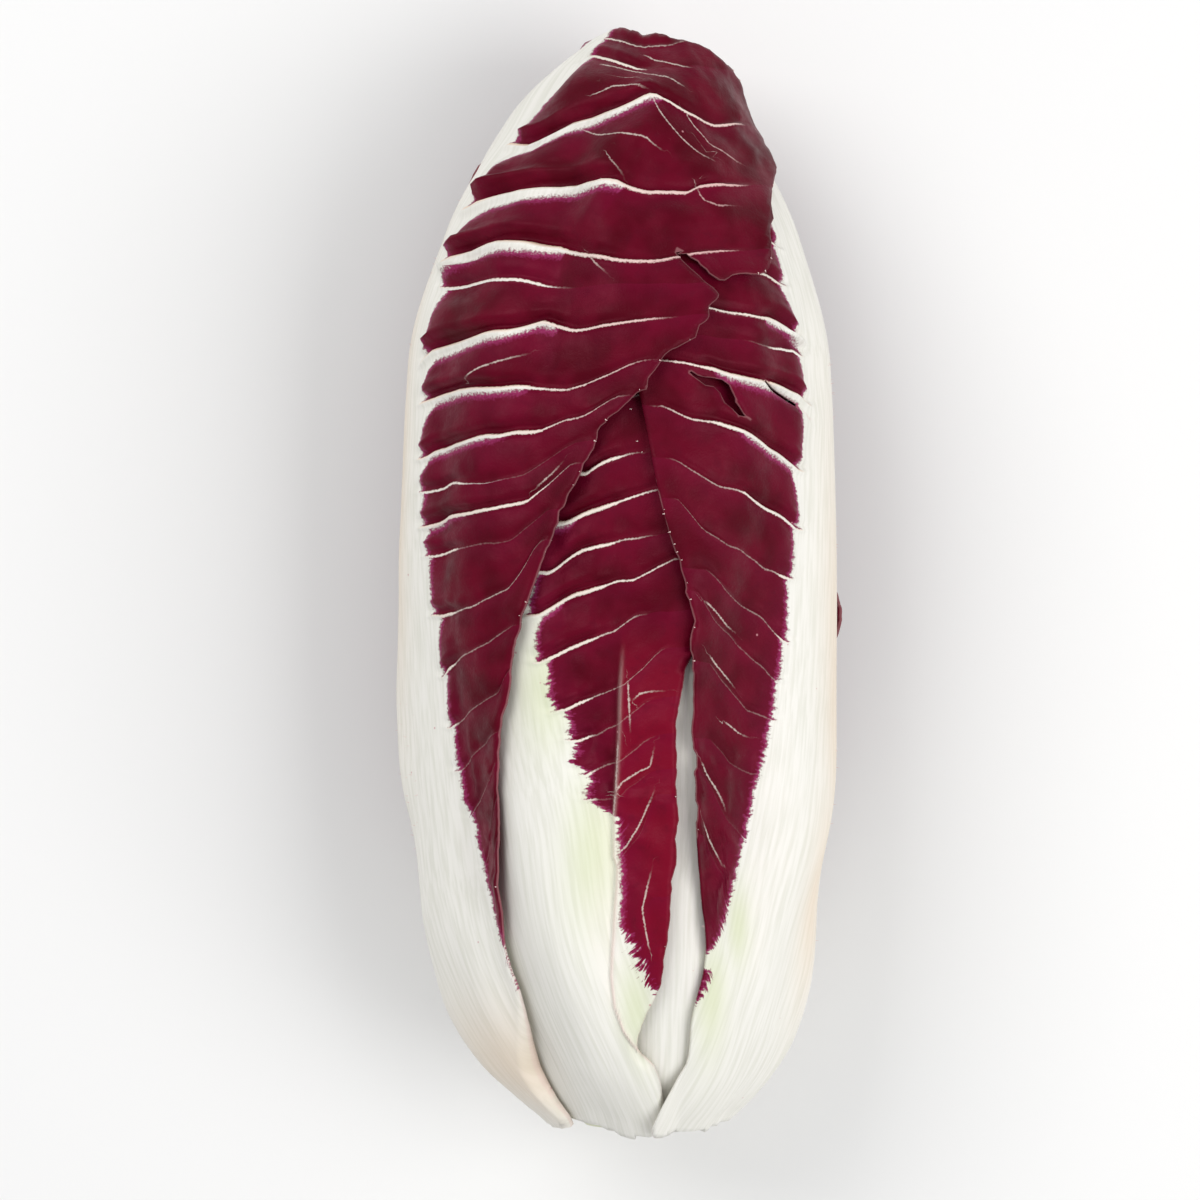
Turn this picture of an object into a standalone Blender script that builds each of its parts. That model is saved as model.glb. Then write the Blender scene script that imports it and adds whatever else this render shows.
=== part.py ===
"""A head of Treviso radicchio lying on its side, as picked and trimmed.

The head is a cut stem, a heart of young leaves and eight outer leaves that wrap round it. Each leaf
has a thick pale rib, broad at its foot, and a thin blade on both sides. The leaves are laid on in the
order they grow, from the heart outwards, and each one drapes over all that lies beneath it.

Sizes are in millimetres until the meshes are written in metres. Y runs from the cut stem to the tip,
Z is up, and an angle about the head is measured from the top towards +X.
"""

import bpy
import numpy as np

MM = 0.001

# The whole head.
FLATNESS = 0.85  # height of the heart over its width
LAYER_GAP = 0.5  # between one leaf and what it lies on
LEAST_GAP = 0.3  # where one leaf bridges the facets of another
SEAT_GAP = 0.4  # between the stem's top and the heart
TYPICAL_COVER = 8.0  # depth of leaves over the heart, which relates a station to the heart beneath
FLOOR_CUT = 3.38  # how much the lowest rib is pressed flat where the head rests

# The heart's and stem's outline, from the cut face to the tip: (station along the axis, radius).
CORE_OUTLINE = (
    (-107.5, 10.5),
    (-104.5, 14.0),
    (-98.0, 19.0),
    (-84.0, 25.7),
    (-64.0, 30.0),
    (-34.0, 31.7),
    (6.0, 32.8),
    (42.0, 32.0),
    (66.0, 26.2),
    (84.0, 18.0),
    (94.5, 14.2),
    (101.5, 10.5),
    (105.4, 6.0),
    (106.6, 0.3),
)
STEM_TOP = -84.0

# How the axis of the head strays from a straight line: (station, sideways) and (station, upwards).
AXIS_SIDEWAYS = (
    (-110.0, 5.6),
    (-93.0, 4.4),
    (-80.0, 3.0),
    (-63.0, 2.0),
    (-45.0, 2.5),
    (-20.0, 2.2),
    (50.0, 2.5),
    (70.0, 3.0),
    (85.0, 4.2),
    (97.0, 6.3),
    (110.0, 9.5),
)
AXIS_UPWARDS = ((-110.0, -1.0), (-60.0, 0.0), (50.0, 0.0), (85.0, -2.5), (110.0, -7.0))

# One leaf's thickness.
BLADE_THICKNESS = 0.8
EDGE_THICKNESS = 0.6
EDGE_TAPER = 5.0
RIB_THICKNESS = (
    (-106.0, 2.6),
    (-94.0, 4.6),
    (-60.0, 4.6),
    (0.0, 3.6),
    (50.0, 2.8),
    (85.0, 1.6),
    (106.0, 1.0),
)
RIB_ROUNDNESS = 2.5

# The free edge: a slow wave, in degrees about the head, and a slight lift off the leaf below.
WAVE_LENGTH = 43.0
WAVE_HEIGHT = 1.8
EDGE_LIFT = 0.7
EDGE_LIFT_REACH = 4.0

# How much sooner a leaf ends at its edges than on its rib, as shares of the heart's length.
TIP_ROUNDING = 0.11
FOOT_ROUNDING = 0.012

# The outer leaves, from the heart outwards. rib, left and right are (station, angle) of the rib's
# middle and of the two edges, rib_half is (station, half width) of the rib, and stoutness how much
# thicker than usual the rib is.
LEAVES = (
    {
        "name": "leaf_under_inner",
        "foot": -110.0,
        "tip": 100.0,
        "rib": ((-105, 208), (0, 214), (100, 220)),
        "left": ((-105, 185), (-70, 165), (-20, 142), (60, 136), (100, 160)),
        "right": ((-105, 230), (-70, 250), (-20, 280), (60, 290), (100, 265)),
        "rib_half": ((-105, 11), (-60, 11), (0, 8), (60, 5), (100, 3)),
    },
    {
        "name": "leaf_top_inner",
        "foot": -110.0,
        "tip": 103.0,
        "rib": ((-105, 14), (-60, 17), (0, 18), (60, 16), (100, 12)),
        "left": ((-105, -12), (-80, -20), (-50, -35), (0, -55), (60, -62), (100, -40)),
        "right": ((-105, 38), (-70, 52), (-20, 88), (60, 96), (100, 70)),
        "rib_half": ((-105, 11), (-60, 11), (0, 8), (60, 5), (100, 3)),
    },
    {
        "name": "leaf_left_flank",
        "foot": -107.5,
        "tip": 104.0,
        "rib": ((-105, -122), (0, -126), (100, -130)),
        "left": ((-105, -152), (-70, -172), (-20, -200), (60, -210), (100, -190)),
        "right": ((-105, -96), (-70, -76), (-20, -48), (60, -42), (100, -70)),
        "rib_half": ((-105, 13), (-60, 13), (0, 9), (60, 6), (100, 3)),
    },
    {
        "name": "leaf_top_middle",
        "foot": -109.0,
        "tip": 105.0,
        "rib": ((-105, -12), (-90, -18), (-73, -23), (-50, -28), (-25, -34), (0, -38), (90, -40)),
        "left": ((-105, -66), (-85, -68), (-60, -74), (-20, -96), (50, -118), (100, -95)),
        "right": (
            (-105, 8),
            (-94, 3),
            (-85, 7.7),
            (-78, 12.5),
            (-50, 13.5),
            (-24, 15),
            (-12, 21),
            (10, 36),
            (60, 44),
            (100, 25),
        ),
        "rib_half": ((-105, 13), (-73, 13.5), (-50, 15), (-25, 12), (0, 11), (60, 6), (100, 3)),
    },
    {
        "name": "leaf_right_wrap",
        "foot": -107.0,
        "tip": 107.0,
        "rib": ((-105, 50), (-90, 54), (-60, 64), (-30, 71), (0, 75), (40, 80), (65, 84), (100, 74)),
        "left": (
            (-106, 18),
            (-93, 24),
            (-85, 22.4),
            (-71, 26.8),
            (-61, 23.5),
            (-49, 20),
            (-20, 17.6),
            (-2, 16),
            (18, 10),
            (37, 4.8),
            (50, -4),
            (80, -15),
            (100, -8),
        ),
        "right": ((-105, 80), (-80, 95), (-50, 114), (0, 138), (50, 152), (85, 156), (100, 140)),
        "rib_half": ((-105, 14), (-80, 17), (-50, 17), (-20, 15.5), (0, 14), (25, 12), (60, 8), (100, 4)),
    },
    {
        "name": "leaf_right_flank",
        "foot": -106.5,
        "tip": 101.0,
        "rib": ((-105, 118), (-50, 122), (0, 124), (96, 128)),
        "left": ((-105, 98), (-70, 94), (-30, 92), (-8, 87), (8, 92), (60, 98), (96, 112)),
        "right": ((-105, 146), (-70, 168), (-20, 198), (60, 208), (96, 185)),
        "rib_half": ((-105, 12), (-80, 14), (-50, 14), (0, 10), (60, 7), (96, 3.5)),
    },
    {
        "name": "leaf_left_wrap",
        "foot": -106.5,
        "tip": 112.0,
        "rib": (
            (-105, -68),
            (-80, -70),
            (-40, -76),
            (0, -79),
            (45, -79),
            (75, -72),
            (90, -64),
            (104, -66),
        ),
        "left": ((-105, -92), (-80, -104), (-50, -120), (0, -146), (50, -162), (85, -168), (104, -150)),
        "right": (
            (-105, -54),
            (-93, -51),
            (-83, -47),
            (-67, -38.3),
            (-43, -34),
            (-22, -30),
            (-2, -21.5),
            (18, -11),
            (32, 0),
            (43, 12),
            (53, 28),
            (64, 46),
            (73, 59),
            (81, 76),
            (90, 86),
            (104, 84),
        ),
        "rib_half": (
            (-105, 13),
            (-80, 15),
            (-55, 16),
            (-36, 15),
            (0, 13),
            (45, 11),
            (74, 8.5),
            (88, 5.6),
            (104, 3.5),
        ),
    },
    {
        "name": "leaf_under_outer",
        "foot": -106.5,
        "tip": 105.0,
        "rib": ((-106, 176), (0, 173.5), (100, 176)),
        "left": ((-106, 150), (-80, 138), (-40, 122), (20, 108), (70, 106), (100, 125)),
        "right": (
            (-106, 206),
            (-80, 218),
            (-40, 238),
            (20, 258),
            (60, 264),
            (80, 270),
            (92, 268),
            (100, 245),
        ),
        "rib_half": ((-106, 15), (-60, 17), (0, 14), (60, 9), (100, 4)),
        "stoutness": 1.25,
    },
)

# The heart's own young leaves are raised from its surface: a turn between neighbours, and their size.
YOUNG_LEAVES = 5
YOUNG_LEAF_TURN = 137.5
YOUNG_LEAF_FIRST = 70.0
YOUNG_LEAF_REACH = 82.0
YOUNG_LEAF_STEP = 1.1
YOUNG_RIB_HEIGHT = 2.2
YOUNG_RIB_HALF = 6.0

# The mesh: how finely the drape is worked out, and how finely the solids follow it.
DRAPE_ROWS = 150
DRAPE_COLUMNS = 240
DRAPE_REACH = 3
LEAF_ROWS = 22
ROW_CROWDING = 0.55
SIDE_COLUMNS = 8
RIB_COLUMNS = 5
HEART_ROWS = 16
HEART_COLUMNS = 28
STEM_ROWS = 5
STEM_COLUMNS = 28
CELL_SAMPLES = 9
SETTLING_ROUNDS = 12

COLOURS = {
    "leaf": (0.17, 0.012, 0.032, 1.0),
    "heart": (0.42, 0.09, 0.14, 1.0),
    "stem": (0.72, 0.66, 0.50, 1.0),
}
ROUGHNESS = {"leaf": 0.42, "heart": 0.45, "stem": 0.7}


def through(points, at):
    """A smooth curve through (station, value) points that never overshoots, read at some stations."""
    stations, values = np.array(points, float).T
    width = np.diff(stations)
    slope = np.diff(values) / width
    bend = np.zeros_like(values)
    bend[0], bend[-1] = slope[0], slope[-1]
    same_way = slope[:-1] * slope[1:] > 0
    before, after = slope[:-1][same_way], slope[1:][same_way]
    bend[1:-1][same_way] = 2 * before * after / (before + after)
    at = np.clip(at, stations[0], stations[-1])
    k = np.clip(np.searchsorted(stations, at, side="right") - 1, 0, len(width) - 1)
    t = (at - stations[k]) / width[k]
    return (
        values[k] * (1 + 2 * t) * (1 - t) ** 2
        + bend[k] * width[k] * t * (1 - t) ** 2
        + values[k + 1] * t**2 * (3 - 2 * t)
        + bend[k + 1] * width[k] * t**2 * (t - 1)
    )


def core_outline(share):
    """(station, radius) of the heart's outline at a share of the way from the cut stem to the tip."""
    points = np.array(CORE_OUTLINE)
    run = np.concatenate([[0], np.cumsum(np.hypot(*np.diff(points, axis=0).T))])
    run /= run[-1]
    return (
        through(np.column_stack([run, points[:, 0]]), share),
        through(np.column_stack([run, points[:, 1]]), share),
    )


def skin(share, angle):
    """The heart's surface and its outward normal, about a straight axis. Angles are in degrees."""
    turn = np.radians(angle)
    step = 1e-4
    station, radius = core_outline(share)
    station_on, radius_on = core_outline(np.clip(share + step, 0, 1))
    station_back, radius_back = core_outline(np.clip(share - step, 0, 1))
    along, out = station_on - station_back, radius_on - radius_back
    surface = (radius * np.sin(turn), station + 0 * turn, FLATNESS * radius * np.cos(turn))
    normal = (FLATNESS * along * np.sin(turn), -FLATNESS * out + 0 * turn, along * np.cos(turn))
    surface, normal = np.stack(surface, -1), np.stack(normal, -1)
    return surface, normal / np.linalg.norm(normal, axis=-1, keepdims=True)


def bent(points, way=1):
    """The points moved from a straight axis onto the head's own, or back with way -1."""
    moved = points.copy()
    moved[..., 0] += way * through(AXIS_SIDEWAYS, points[..., 1])
    moved[..., 2] += way * through(AXIS_UPWARDS, points[..., 1])
    return moved


def place(share, angle, height):
    """Points at a height over the heart, at a share of its length and an angle in degrees about it."""
    surface, normal = skin(share, angle)
    return bent(surface + np.asarray(height)[..., None] * normal)


def core_share(station):
    """The share of the heart's length at a station on its own surface."""
    shares = np.linspace(0.0, 1.0, 400)
    return np.interp(station, core_outline(shares)[0], shares)


def share_at(station):
    """The share of the heart's length that lies under a station on the outside of the head."""
    shares = np.linspace(0.0, 1.0, 400)
    y = place(shares, np.zeros_like(shares), np.full_like(shares, TYPICAL_COVER))[:, 1]
    return np.interp(station, np.maximum.accumulate(y), shares)


def station_at(share):
    """The station on the outside of the head over a share of the heart's length."""
    return place(share, np.zeros_like(share), np.full_like(share, TYPICAL_COVER))[..., 1]


def spread(field, reach, rule):
    """Each cell becomes the rule (np.maximum, or np.add for a mean) over its neighbours within reach."""
    for axis in (0, 1):
        if axis == 0:
            padded = np.pad(field, ((reach, reach), (0, 0)), mode="edge")
            slices = [padded[k : k + field.shape[0]] for k in range(2 * reach + 1)]
        else:
            slices = [np.roll(field, k, axis=1) for k in range(-reach, reach + 1)]
        field = rule.reduce(slices)
        if rule is np.add:
            field = field / len(slices)
    return field


def soften(field):
    return spread(spread(field, DRAPE_REACH, np.add), DRAPE_REACH, np.add)


def drape(under):
    """The height of a sheet laid over a surface: it rests on what stands out and bridges the rest."""
    soft = soften(under)
    proud = np.maximum(under - soft, 0)
    return soft + soften(spread(proud, 2 * DRAPE_REACH, np.maximum))


def margins(leaf, share):
    """The angles of the leaf's left edge, rib and right edge at a share of the heart's length."""
    station = station_at(share)
    rib = through(leaf["rib"], station)
    wave = WAVE_HEIGHT * np.sin(2 * np.pi * station / WAVE_LENGTH)
    return through(leaf["left"], station) + wave, rib, through(leaf["right"], station) + wave


def ends(leaf, across):
    """The shares of the heart's length where the leaf starts and ends, from -1 at its left edge to 1."""
    foot = share_at(leaf["foot"]) + FOOT_ROUNDING * across**2
    return foot, share_at(leaf["tip"]) - TIP_ROUNDING * np.abs(across) ** 2.5


def thickness(leaf, share, angle):
    """The leaf's thickness, a rounded rib, a blade and a thinner edge, and how far its edge lifts."""
    station = station_at(share)
    radius = core_outline(share)[1] * (1 + FLATNESS) / 2 + TYPICAL_COVER / 2
    left, rib, right = margins(leaf, share)
    half = through(leaf["rib_half"], station)
    off_rib = np.abs(np.radians(angle - rib) * radius / half)
    hump = np.maximum(1 - off_rib**RIB_ROUNDNESS, 0) ** 1.5
    to_edge = np.maximum(np.radians(np.minimum(angle - left, right - angle)) * radius, 0)
    blade = EDGE_THICKNESS + (BLADE_THICKNESS - EDGE_THICKNESS) * np.clip(to_edge / EDGE_TAPER, 0, 1)
    lift = EDGE_LIFT * np.exp(-to_edge / EDGE_LIFT_REACH)
    rib_thickness = leaf.get("stoutness", 1.0) * through(RIB_THICKNESS, station)
    return blade + (rib_thickness - blade) * hump, lift


def read_field(field, share, angle):
    """The field's value between its cells."""
    row = np.clip(share * (DRAPE_ROWS - 1), 0, DRAPE_ROWS - 1.0001)
    column = ((angle + 180) % 360) * DRAPE_COLUMNS / 360
    r, c = np.floor(row).astype(int), np.floor(column).astype(int)
    u, v = row - r, column - c
    c, d = c % DRAPE_COLUMNS, (c + 1) % DRAPE_COLUMNS
    before = (1 - v) * field[r, c] + v * field[r, d]
    after = (1 - v) * field[r + 1, c] + v * field[r + 1, d]
    return (1 - u) * before + u * after


def facet_weights():
    """Each corner's share in samples over a grid's cell, which is split into two triangles."""
    u, v = np.meshgrid(np.linspace(0, 1, CELL_SAMPLES), np.linspace(0, 1, CELL_SAMPLES))
    u, v = u.ravel(), v.ravel()
    near = u + v <= 1
    first = np.where(near, 1 - u - v, 0)
    beside = np.where(near, u, 1 - v)
    beyond = np.where(near, v, 1 - u)
    return np.stack([first, beside, beyond, np.where(near, 0, u + v - 1)])


def over_cells(grid):
    """A grid's values sampled over each of its cells."""
    corners = np.stack([grid[:-1, :-1], grid[:-1, 1:], grid[1:, :-1], grid[1:, 1:]])
    return np.einsum("ks,krc...->rcs...", facet_weights(), corners)


def facet_heights(share, angle, height):
    """The share, angle and height over the heart of samples on the facets that join a grid's points."""
    share_in, angle_in = over_cells(share), over_cells(angle)
    surface, normal = skin(share_in, angle_in)
    facets = bent(over_cells(place(share, angle, height)), -1)
    return share_in, angle_in, ((facets - surface) * normal).sum(-1)


def settle(share, angle, height, cover):
    """Raises the grid's points until every facet between them clears what lies under it."""
    weights = facet_weights()
    pull = weights / (weights**2).sum(0)
    for _ in range(SETTLING_ROUNDS):
        share_in, angle_in, height_in = facet_heights(share, angle, height)
        lack = np.maximum(read_field(cover, share_in, angle_in) + LEAST_GAP - height_in, 0)
        raised = (lack[None] * pull[:, None, None, :]).max(-1)
        rise = np.zeros_like(height)
        for part, window in zip(raised, ((0, 0), (0, 1), (1, 0), (1, 1))):
            rows = slice(window[0], window[0] + part.shape[0])
            columns = slice(window[1], window[1] + part.shape[1])
            rise[rows, columns] = np.maximum(rise[rows, columns], part)
        height = height + rise
    return height


def covered(cover, share, angle, height):
    """The cover with the facets of a grid laid on it."""
    share_in, angle_in, height_in = facet_heights(share, angle, height)
    laid = np.full_like(cover, -1.0)
    for row_step in (0, 1):
        for column_step in (0, 1):
            row = np.floor(share_in * (DRAPE_ROWS - 1)).astype(int) + row_step
            row = np.clip(row, 0, DRAPE_ROWS - 1)
            column = np.floor((angle_in + 180) * DRAPE_COLUMNS / 360).astype(int) + column_step
            np.maximum.at(laid, (row, column % DRAPE_COLUMNS), height_in)
    return np.maximum(cover, laid)


def drape_grid():
    shares = np.linspace(0, 1, DRAPE_ROWS)[:, None]
    return shares, np.linspace(-180, 180, DRAPE_COLUMNS, endpoint=False)[None, :]


def young_leaves():
    """The heart's relief: the height of its own young leaves, each lying over the one before."""
    shares, angles = drape_grid()
    relief = np.zeros((DRAPE_ROWS, DRAPE_COLUMNS))
    station = station_at(shares)
    radius = core_outline(shares)[1] + 1.0
    for k in range(YOUNG_LEAVES):
        middle = YOUNG_LEAF_FIRST + k * YOUNG_LEAF_TURN
        off = (angles - middle + 180) % 360 - 180
        reach = YOUNG_LEAF_REACH * through(((-110, 0.35), (-20, 1.0), (60, 1.0), (110, 0.8)), station)
        hump = np.maximum(1 - (np.radians(off) * radius / YOUNG_RIB_HALF) ** 2, 0) ** 1.5
        rib = YOUNG_RIB_HEIGHT * hump * through(((-110, 1), (20, 0.8), (110, 0)), station)
        rise = YOUNG_LEAF_STEP + rib
        relief = np.where(np.abs(off) < reach, soften(relief) + rise, relief)
    return soften(relief) * np.clip((shares - core_share(STEM_TOP)) / 0.05, 0, 1)


def leaf_columns(leaf, share):
    """Columns of angles from the left edge to the right, closer together on the rib."""
    left, rib, right = margins(leaf, share)
    radius = core_outline(share)[1] * (1 + FLATNESS) / 2 + TYPICAL_COVER / 2
    half = np.degrees(through(leaf["rib_half"], station_at(share)) / radius)
    half = np.minimum(half, 0.8 * np.minimum(rib - left, right - rib))
    left_side = left + (rib - half - left) * np.linspace(0, 1, SIDE_COLUMNS)[:-1]
    middle = rib + half * np.linspace(-1, 1, RIB_COLUMNS)
    right_side = rib + half + (right - rib - half) * np.linspace(0, 1, SIDE_COLUMNS)[1:]
    return np.concatenate([left_side, middle, right_side], axis=1)


def leaf_grid(leaf):
    """The shares and angles of the leaf's rows and columns, crowded towards its foot and tip."""
    t = np.linspace(0, 1, LEAF_ROWS)[:, None]
    row = (1 - ROW_CROWDING) * t + ROW_CROWDING * (0.5 - 0.5 * np.cos(np.pi * t))
    foot, tip = ends(leaf, 0.0)
    angle = leaf_columns(leaf, foot + row * (tip - foot))
    rib = angle[:, SIDE_COLUMNS - 1 + RIB_COLUMNS // 2, None]
    width = np.where(angle < rib, rib - angle[:, :1], angle[:, -1:] - rib)
    across = (angle - rib) / width
    foot, tip = ends(leaf, across)
    share = foot + row * (tip - foot)
    left, rib, right = margins(leaf, share)
    return share, rib + across * np.where(across < 0, rib - left, right - rib)


def lay_leaf(leaf, cover):
    """The leaf laid over the cover: the points of its two faces, and the cover with it on."""
    shares, angles = drape_grid()
    share, angle = leaf_grid(leaf)
    bed = drape(cover) + LAYER_GAP
    thick, lift = thickness(leaf, share, angle)
    inner = settle(share, angle, read_field(bed, share, angle) + lift, cover)
    outer = inner + thick
    return place(share, angle, outer), place(share, angle, inner), covered(cover, share, angle, outer)


def sheet_faces(rows, columns):
    """Triangles of a closed sheet: its outer face, its inner face split alike, and the rim between."""
    outer = np.arange(rows * columns).reshape(rows, columns)
    inner = outer + rows * columns
    faces = []
    for r in range(rows - 1):
        for c in range(columns - 1):
            a, b, d, e = outer[r, c], outer[r, c + 1], outer[r + 1, c], outer[r + 1, c + 1]
            faces += [(a, b, d), (b, e, d)]
            a, b, d, e = inner[r, c], inner[r, c + 1], inner[r + 1, c], inner[r + 1, c + 1]
            faces += [(a, d, b), (b, d, e)]
    loop = np.concatenate([outer[0], outer[1:, -1], outer[-1, -2::-1], outer[-2:0:-1, 0]])
    for here, there in zip(loop, np.roll(loop, -1)):
        under_here, under_there = here + rows * columns, there + rows * columns
        faces += [(there, here, under_here), (there, under_here, under_there)]
    return faces


def add_object(name, points, faces, finish):
    mesh = bpy.data.meshes.new(name)
    mesh.from_pydata([tuple(p) for p in points * MM], [], faces)
    mesh.update()
    mesh.shade_smooth()
    material = bpy.data.materials.new(name)
    material.use_nodes = True
    shader = material.node_tree.nodes["Principled BSDF"]
    shader.inputs["Base Color"].default_value = COLOURS[finish]
    shader.inputs["Roughness"].default_value = ROUGHNESS[finish]
    mesh.materials.append(material)
    bpy.context.scene.collection.objects.link(bpy.data.objects.new(name, mesh))


def closed_rings(rings, first, last):
    """Points and triangles of a solid made of rings about the axis, closed by a point at each end."""
    rows, columns = rings.shape[:2]
    points = np.concatenate([rings.reshape(-1, 3), [first, last]])
    index = np.arange(rows * columns).reshape(rows, columns)
    on = np.roll(index, -1, axis=1)
    faces = []
    for r in range(rows - 1):
        for c in range(columns):
            faces.append((index[r, c], on[r, c], index[r + 1, c]))
            faces.append((on[r, c], on[r + 1, c], index[r + 1, c]))
    faces += [(on[0, c], index[0, c], rows * columns) for c in range(columns)]
    faces += [(index[-1, c], on[-1, c], rows * columns + 1) for c in range(columns)]
    return points, faces


def heart_grid():
    share = np.linspace(core_share(STEM_TOP), 0.992, HEART_ROWS)[:, None]
    angle = np.linspace(0, 360, HEART_COLUMNS, endpoint=False)[None, :]
    return np.broadcast_arrays(share, angle)


def build_heart(share, angle, relief):
    """The heart's points and triangles: young leaves raised from a closed egg, flat at the stem."""
    rings = place(share, angle, relief)
    return closed_rings(rings, rings[0].mean(0), place(np.ones(1), np.zeros(1), np.zeros(1))[0])


def build_stem():
    """The stem's points and triangles: the cut face, and a side that follows the leaves' feet."""
    top = core_share(STEM_TOP - SEAT_GAP)
    share = np.linspace(0, top, STEM_ROWS)[:, None]
    angle = np.linspace(0, 360, STEM_COLUMNS, endpoint=False)[None, :]
    share, angle = np.broadcast_arrays(share, angle)
    rings = place(share, angle, np.zeros_like(angle))
    return closed_rings(rings, rings[0].mean(0), rings[-1].mean(0))


def build_head():
    """Every piece as (name, points, triangles, finish), about the heart's own axis."""
    pieces = [("stem", *build_stem(), "stem")]
    young = young_leaves()
    share, angle = heart_grid()
    relief = read_field(young, share, angle)
    pieces.append(("heart", *build_heart(share, angle, relief), "heart"))
    cover = covered(young, share, angle, relief)
    for leaf in LEAVES:
        outer, inner, cover = lay_leaf(leaf, cover)
        points = np.concatenate([outer.reshape(-1, 3), inner.reshape(-1, 3)])
        pieces.append((leaf["name"], points, sheet_faces(*outer.shape[:2]), "leaf"))
    return pieces


def main():
    for old in list(bpy.data.objects):
        bpy.data.objects.remove(old)
    pieces = build_head()
    lowest = min(points[:, 2].min() for _, points, _, _ in pieces) + FLOOR_CUT
    for _, points, _, _ in pieces:
        points[:, 2] = np.maximum(points[:, 2], lowest)
    everything = np.concatenate([points for _, points, _, _ in pieces])
    middle = (everything.min(0) + everything.max(0)) / 2
    origin = np.array([middle[0], middle[1], lowest])
    for name, points, faces, finish in pieces:
        add_object(name, points - origin, faces, finish)


main()
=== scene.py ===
import math

import bpy
import numpy as np
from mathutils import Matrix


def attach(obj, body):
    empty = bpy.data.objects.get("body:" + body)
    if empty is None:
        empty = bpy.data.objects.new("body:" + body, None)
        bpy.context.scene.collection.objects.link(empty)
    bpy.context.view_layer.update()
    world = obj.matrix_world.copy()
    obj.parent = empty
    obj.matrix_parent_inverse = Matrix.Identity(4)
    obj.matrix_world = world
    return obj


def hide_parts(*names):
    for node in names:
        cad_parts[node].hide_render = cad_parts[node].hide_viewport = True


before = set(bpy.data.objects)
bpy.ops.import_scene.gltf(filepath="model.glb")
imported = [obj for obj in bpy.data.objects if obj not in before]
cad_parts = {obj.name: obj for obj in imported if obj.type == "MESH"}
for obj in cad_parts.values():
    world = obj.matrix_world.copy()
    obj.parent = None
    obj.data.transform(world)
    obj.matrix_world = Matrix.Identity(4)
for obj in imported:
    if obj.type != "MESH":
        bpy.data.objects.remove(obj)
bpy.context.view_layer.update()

# The cut stem. The root end of the head is sliced off square and shows a firm cream pith, a ring of
# fibre bundles round it and a greenish rind that the leaves grow out of. It browns slightly in air.
# All leaves are laid over the stem and heart, so the surface they share is set out here as well: a
# station is a place along the head in mm, an angle is in degrees from the top towards the right, and
# lengths without a unit beside them are in mm.
MM = 0.001
ORIGIN = np.array([0.80712433, 0.58752696, -37.96996553])  # the footprint's middle, from the head's axis
FLATNESS = 0.85
STEM_TOP = -84.4
TYPICAL_COVER = 8.0
CORE_OUTLINE = (
    (-107.5, 10.5),
    (-104.5, 14.0),
    (-98.0, 19.0),
    (-84.0, 25.7),
    (-64.0, 30.0),
    (-34.0, 31.7),
    (6.0, 32.8),
    (42.0, 32.0),
    (66.0, 26.2),
    (84.0, 18.0),
    (94.5, 14.2),
    (101.5, 10.5),
    (105.4, 6.0),
    (106.6, 0.3),
)
AXIS_SIDEWAYS = (
    (-110.0, 5.6),
    (-93.0, 4.4),
    (-80.0, 3.0),
    (-63.0, 2.0),
    (-45.0, 2.5),
    (-20.0, 2.2),
    (50.0, 2.5),
    (70.0, 3.0),
    (85.0, 3.7),
    (97.0, 4.4),
    (110.0, 6.0),
)
AXIS_UPWARDS = ((-110.0, -1.0), (-60.0, 0.0), (50.0, 0.0), (85.0, -2.5), (110.0, -7.0))


def through(points, at):
    """A smooth curve through (station, value) points that never overshoots, read at some stations."""
    stations, values = np.array(points, float).T
    width = np.diff(stations)
    slope = np.diff(values) / width
    bend = np.zeros_like(values)
    bend[0], bend[-1] = slope[0], slope[-1]
    same_way = slope[:-1] * slope[1:] > 0
    before, after = slope[:-1][same_way], slope[1:][same_way]
    bend[1:-1][same_way] = 2 * before * after / (before + after)
    at = np.clip(at, stations[0], stations[-1])
    k = np.clip(np.searchsorted(stations, at, side="right") - 1, 0, len(width) - 1)
    t = (at - stations[k]) / width[k]
    return (
        values[k] * (1 + 2 * t) * (1 - t) ** 2
        + bend[k] * width[k] * t * (1 - t) ** 2
        + values[k + 1] * t**2 * (3 - 2 * t)
        + bend[k + 1] * width[k] * t**2 * (t - 1)
    )


def core_outline(share):
    """(station, radius) of the heart's outline at a share of the way from the cut stem to the tip."""
    points = np.array(CORE_OUTLINE)
    run = np.concatenate([[0], np.cumsum(np.hypot(*np.diff(points, axis=0).T))])
    run /= run[-1]
    return (
        through(np.column_stack([run, points[:, 0]]), share),
        through(np.column_stack([run, points[:, 1]]), share),
    )


def place(share, angle, height):
    """Points in mm at a height over the heart, by share of its length and angle from the top."""
    turn = np.radians(angle)
    step = 1e-4
    station, radius = core_outline(share)
    station_on, radius_on = core_outline(np.clip(share + step, 0, 1))
    station_back, radius_back = core_outline(np.clip(share - step, 0, 1))
    along, out = station_on - station_back, radius_on - radius_back
    surface = (radius * np.sin(turn), station + 0 * turn, FLATNESS * radius * np.cos(turn))
    normal = (FLATNESS * along * np.sin(turn), -FLATNESS * out + 0 * turn, along * np.cos(turn))
    surface, normal = np.stack(surface, -1), np.stack(normal, -1)
    normal /= np.linalg.norm(normal, axis=-1, keepdims=True)
    points = surface + np.asarray(height)[..., None] * normal
    sideways = through(AXIS_SIDEWAYS, points[..., 1])
    upwards = through(AXIS_UPWARDS, points[..., 1])
    points[..., 0] += sideways
    points[..., 2] += upwards
    return points - ORIGIN


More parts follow.
